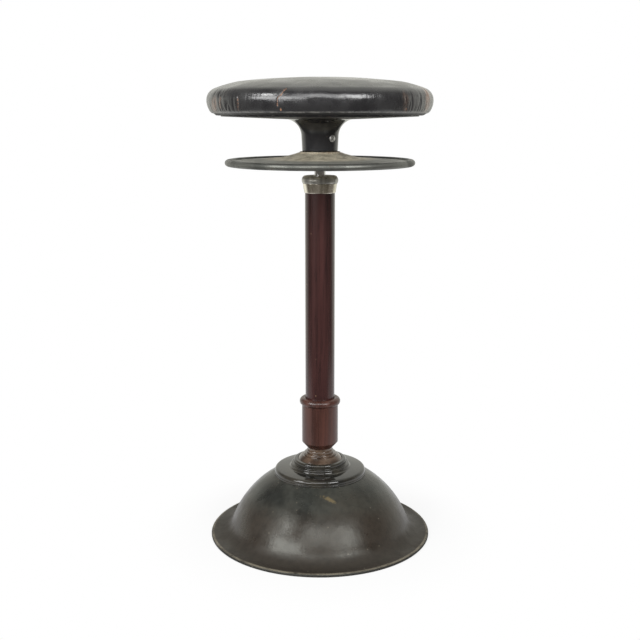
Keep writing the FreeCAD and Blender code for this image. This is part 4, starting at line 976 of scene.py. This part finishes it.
def makeRing():
    tree, given, end = newShapeTree("ringOf", {
        "Pattern": "Object", "Finish": "Material", "Count": "Int", "Circle": "Float", "Height": "Float",
        "Turn": "Float", "Wander": "Float", "Seed": "Int"})
    circle = addNode(tree, "GeometryNodeMeshCircle", {"Vertices": given["Count"], "Radius": given["Circle"]}).outputs[0]
    circle = addNode(tree, "GeometryNodeTransform", {"Geometry": circle, "Translation": upright(tree, given["Height"]),
                                                     "Rotation": upright(tree, given["Turn"])}).outputs[0]
    stray = addNode(tree, "FunctionNodeRandomValue", {0: (-1.0, -1.0, 0.0), 1: (1.0, 1.0, 0.0), "Seed": given["Seed"]},
                    data_type="FLOAT_VECTOR").outputs[0]
    stray = vectorMath(tree, "SCALE", {0: stray, "Scale": given["Wander"]})
    points = addNode(tree, "GeometryNodeSetPosition", {"Geometry": circle, "Offset": stray}).outputs[0]
    spin = addNode(tree, "FunctionNodeRandomValue", {2: 0.0, 3: 2 * math.pi, "Seed": given["Seed"]},
                   data_type="FLOAT").outputs[1]
    pattern = addNode(tree, "GeometryNodeObjectInfo", {"Object": given["Pattern"]}).outputs["Geometry"]
    placed = addNode(tree, "GeometryNodeInstanceOnPoints", {"Points": points, "Instance": pattern,
                                                            "Rotation": upright(tree, spin)}).outputs[0]
    return endShape(tree, end, placed, given["Finish"])


def makeWinding():
    tree, given, end = newShapeTree("woundWire", {
        "Finish": "Material", "Coil": "Float", "Wire": "Float", "Sides": "Int", "Foot": "Float", "Rise": "Float",
        "Turns": "Float", "Start": "Float"})
    line = addNode(tree, "GeometryNodeCurveSpiral", {
        "Resolution": 48, "Rotations": given["Turns"], "Height": given["Rise"], "Start Radius": given["Coil"],
        "End Radius": given["Coil"], "Reverse": True}).outputs[0]
    section = addNode(tree, "GeometryNodeCurvePrimitiveCircle", {"Resolution": given["Sides"],
                                                                 "Radius": given["Wire"]}).outputs[0]
    tube = addNode(tree, "GeometryNodeCurveToMesh", {"Curve": line, "Profile Curve": section,
                                                     "Fill Caps": True}).outputs[0]
    lifted = addNode(tree, "GeometryNodeTransform", {"Geometry": tube, "Translation": upright(tree, given["Foot"]),
                                                     "Rotation": upright(tree, given["Start"])}).outputs[0]
    return endShape(tree, end, lifted, given["Finish"])


def grow(name, tree, values):
    piece = link(name, bpy.data.meshes.new(name + "Seed"))
    live = piece.modifiers.new("grown", "NODES")
    live.node_group = tree
    for item in tree.interface.items_tree:
        if item.in_out == "INPUT":
            live[item.identifier] = values[item.name]
    shape = bakedMesh(piece)
    piece.modifiers.remove(live)
    piece.data = shape
    shape.name = name
    return piece


# slotted screws under the collar and under the seat plate; the head looks down, the seat of the head is at 0
screws = {
    "collar_screws": {"body": "base", "circle": 0.062, "count": 4, "turn": 45.0, "head": 0.0052, "tall": 0.0040,
                      "shank": 0.0030, "dome": 0.0012, "slot": 0.0014, "deep": 0.0016, "seed": 3},
    "board_screws": {"body": "seat", "circle": 0.096, "count": 4, "turn": -49.3, "head": 0.0050, "tall": 0.0018,
                     "shank": 0.0024, "dome": 0.0016, "slot": 0.0012, "deep": 0.0010, "seed": 5},
}
tacks = {"count": 44, "circle": 0.1506, "head": 0.0023, "tall": 0.0010, "wander": 0.0004, "seed": 11}
# springs: each part has its share of the height from and to, and the bodies under and over it
coils = {
    "centring_spring": {"finish": "dark_steel", "coil": 0.0235, "wire": 0.0046, "turns": 2.25, "sides": 16,
                        "parts": {"centring_spring_foot": (0.0, 0.5, "column", "pivot"),
                                  "centring_spring_head": (0.5, 1.0, "pivot", "base")}},
    "release_spring": {"finish": "bright_steel", "coil": 0.0059, "wire": 0.0014, "turns": 5.25, "sides": 16,
                       "pressed": 0.683, "parts": {"release_spring_wound": (0.0, 1.0, "lift", "lift")}},
}


def slottedScrew(look, long):
    # turned head and shank with a slot milled across the head
    lip = look["tall"] - look["dome"]
    bow = [(look["head"] * math.sin(a), -lip - look["dome"] * math.cos(a)) for a in np.linspace(0, math.pi / 2, 7)]
    outline = np.array([*bow, (look["head"], 0.0), (look["shank"], 0.0), (look["shank"], long), (0.0, long)])
    body = link("screwBody", revolve("screwBody", thinned(outline, False, 1e-6), False, 40))
    cutter = link("screwSlot", bpy.data.meshes.new("screwSlot"))
    block = bmesh.new()
    bmesh.ops.create_cube(block, size=1.0, matrix=Matrix.Translation((0, 0, -look["tall"])) @ Matrix.Diagonal(
        (3 * look["head"], look["slot"], 2 * look["deep"], 1)))
    block.to_mesh(cutter.data)
    block.free()
    mill = body.modifiers.new("slot", "BOOLEAN")
    mill.operation, mill.object, mill.solver = "DIFFERENCE", cutter, "EXACT"
    body.data = bakedMesh(body)
    body.modifiers.clear()
    bpy.data.objects.remove(cutter)
    return body


def makeRepeats():
    ringOf, woundWire = makeRing(), makeWinding()
    for node, look in screws.items():
        low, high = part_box(node)
        seat = low.z + look["tall"]
        pattern = slottedScrew(look, high.z - seat)
        piece = grow(node + "_slotted", ringOf, {
            "Pattern": pattern, "Finish": finishes["dark_steel"], "Count": look["count"], "Circle": look["circle"],
            "Height": seat, "Turn": math.radians(look["turn"]), "Wander": 0.0, "Seed": look["seed"]})
        bpy.data.objects.remove(pattern)
        finishPiece(piece, "dark_steel", look["body"], node)
        piece.data.set_sharp_from_angle(angle=math.radians(35))
    bow = [(tacks["head"] * math.sin(a), -tacks["tall"] * math.cos(a)) for a in np.linspace(0, math.pi / 2, 4)]
    pattern = link("tackHead", revolve("tackHead", np.array([*bow, (0.0, 0.0)]), False, 12))
    heads = grow("hem_tacks", ringOf, {
        "Pattern": pattern, "Finish": finishes["dark_steel"], "Count": tacks["count"], "Circle": tacks["circle"],
        "Height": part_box("seat_cushion")[0].z, "Turn": 0.0, "Wander": tacks["wander"], "Seed": tacks["seed"]})
    bpy.data.objects.remove(pattern)
    finishPiece(heads, "dark_steel", "seat")
    for node, look in coils.items():
        low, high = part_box(node)
        foot, rise = low.z + look["wire"] / 2, high.z - low.z - look["wire"]
        for name, (begin, stop, under, over) in look["parts"].items():
            piece = grow(name, woundWire, {
                "Finish": finishes[look["finish"]], "Coil": look["coil"], "Wire": look["wire"] / 2,
                "Sides": look["sides"], "Foot": foot + rise * begin, "Rise": rise * (stop - begin),
                "Turns": look["turns"] * (stop - begin), "Start": 2 * math.pi * look["turns"] * begin})
            finishPiece(piece, look["finish"], under if under == over else None, node)
            if under == over:
                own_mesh(piece)
                continue
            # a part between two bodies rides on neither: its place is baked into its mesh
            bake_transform(piece)


makeRepeats()
print("screws, tacks and springs grown")

# CAD nodes whose shape is right keep it and take the finishes
for node, obj in nodes.items():
    if obj.hide_render:
        continue
    old = obj.data.materials[0].name.split(".")[0]
    for holder in obj.material_slots:
        holder.material = finishes[old]
print("CAD nodes dressed")

# stage: white behind the stool and under it, a dim room on the camera's side with soft windows in it
# each window: degrees to the right of the camera's side, degrees up, width and height in m, watts
stage = {"white": 1.0, "ambient": 0.16, "behind": colour(0.97, 0.965, 0.89), "room": colour(0.17, 0.155, 0.14),
         "turnsWhite": (-0.02, 0.40), "overhead": 0.46, "highSides": (0.08, 0.30, 1.0, 0.12), "sidesMiddle": 0.12,
         "floor": {"Base Color": colour(0.86, 0.86, 0.855), "Roughness": 0.8, "Specular IOR Level": 0.1},
         "floorReach": 1.0, "floorFront": 0.30, "floorDrop": -0.0004, "floorShade": (0.295, 0.16, 0.0, 0.14),
         "aim": (0, 0, 0.38), "away": 3.7,
         "windows": {"leftLow": (-45, 15.2, 3.0, 1.04, 78.0), "leftHigh": (-58, 36, 0.80, 0.80, 34.0),
                     "middle": (-4, 36.5, 2.3, 1.35, 43.0), "right": (36, 27.5, 1.5, 1.6, 79.0),
                     "strip": (1, 24.0, 3.2, 0.12, 14.0)}}


def setFloor():
    mesh = bpy.data.meshes.new("floor")
    far, front, drop = stage["floorReach"], stage["floorFront"], stage["floorDrop"]
    corners = [(-far, -front, drop), (far, -front, drop), (far, far, drop), (-far, far, drop)]
    mesh.from_pydata(corners, [], [(0, 1, 2, 3)])
    floor = link("floor", mesh)
    material, tree, shader = newMaterial("paleFloor", stage["floor"])
    end = tree.nodes["Material Output"]
    glow = addNode(tree, "ShaderNodeEmission", {"Color": colour(1.0, 1.0, 1.0), "Strength": stage["white"]})
    shade = ramp(tree, vectorMath(tree, "LENGTH", {0: objectPlace(tree)}, "Value"), *stage["floorShade"])
    rays = addNode(tree, "ShaderNodeLightPath").outputs
    seen = most(tree, rays["Is Camera Ray"], rays["Is Glossy Ray"], rays["Is Transmission Ray"])
    share = times(tree, seen, calc(tree, "SUBTRACT", 1.0, shade))
    mix = addNode(tree, "ShaderNodeMixShader", {0: share, 1: shader.outputs[0], 2: glow.outputs[0]})
    tree.links.new(mix.outputs[0], end.inputs["Surface"])
    mesh.materials.append(material)


def setWorld():
    world = bpy.data.worlds.new("studio")
    scene.world = world
    world.use_nodes = True
    tree = world.node_tree
    out = tree.nodes["World Output"]
    way = addNode(tree, "ShaderNodeSeparateXYZ", {0: addNode(tree, "ShaderNodeTexCoord").outputs["Generated"]}).outputs
    pale = ramp(tree, calc(tree, "MULTIPLY_ADD", way["Z"], stage["overhead"], way["Y"]), *stage["turnsWhite"])
    aside = calc(tree, "ABSOLUTE", calc(tree, "SUBTRACT", way["X"], stage["sidesMiddle"]))
    high = times(tree, aside, aside, way["Z"])
    pale = times(tree, pale, ramp(tree, high, *stage["highSides"]))
    room = mixColour(tree, pale, stage["room"], stage["behind"])
    rays = addNode(tree, "ShaderNodeLightPath").outputs
    seen = mixColour(tree, rays["Is Camera Ray"], room, colour(1.0, 1.0, 1.0))
    shown = addNode(tree, "ShaderNodeBackground", {"Color": seen, "Strength": stage["white"]})
    lit = addNode(tree, "ShaderNodeBackground", {"Color": colour(1.0, 1.0, 1.0), "Strength": stage["ambient"]})
    share = most(tree, rays["Is Camera Ray"], rays["Is Glossy Ray"], rays["Is Transmission Ray"])
    mix = addNode(tree, "ShaderNodeMixShader", {0: share, 1: lit.outputs[0], 2: shown.outputs[0]})
    tree.links.new(mix.outputs[0], out.inputs["Surface"])


def setWindows():
    aim = Vector(stage["aim"])
    for name, (side, rise, wide, high, watts) in stage["windows"].items():
        lamp = bpy.data.lights.new(name + "Window", "AREA")
        lamp.shape = "RECTANGLE"
        lamp.size, lamp.size_y, lamp.energy = wide, high, watts
        holder = bpy.data.objects.new(name + "Window", lamp)
        turn, up = math.radians(side), math.radians(rise)
        away = Vector((math.sin(turn) * math.cos(up), -math.cos(turn) * math.cos(up), math.sin(up)))
        holder.location = aim + away * stage["away"]
        holder.rotation_euler = away.to_track_quat("Z", "Y").to_euler()
        holder.visible_camera = False
        scene.collection.objects.link(holder)


setFloor()
setWorld()
setWindows()
print("stage set")
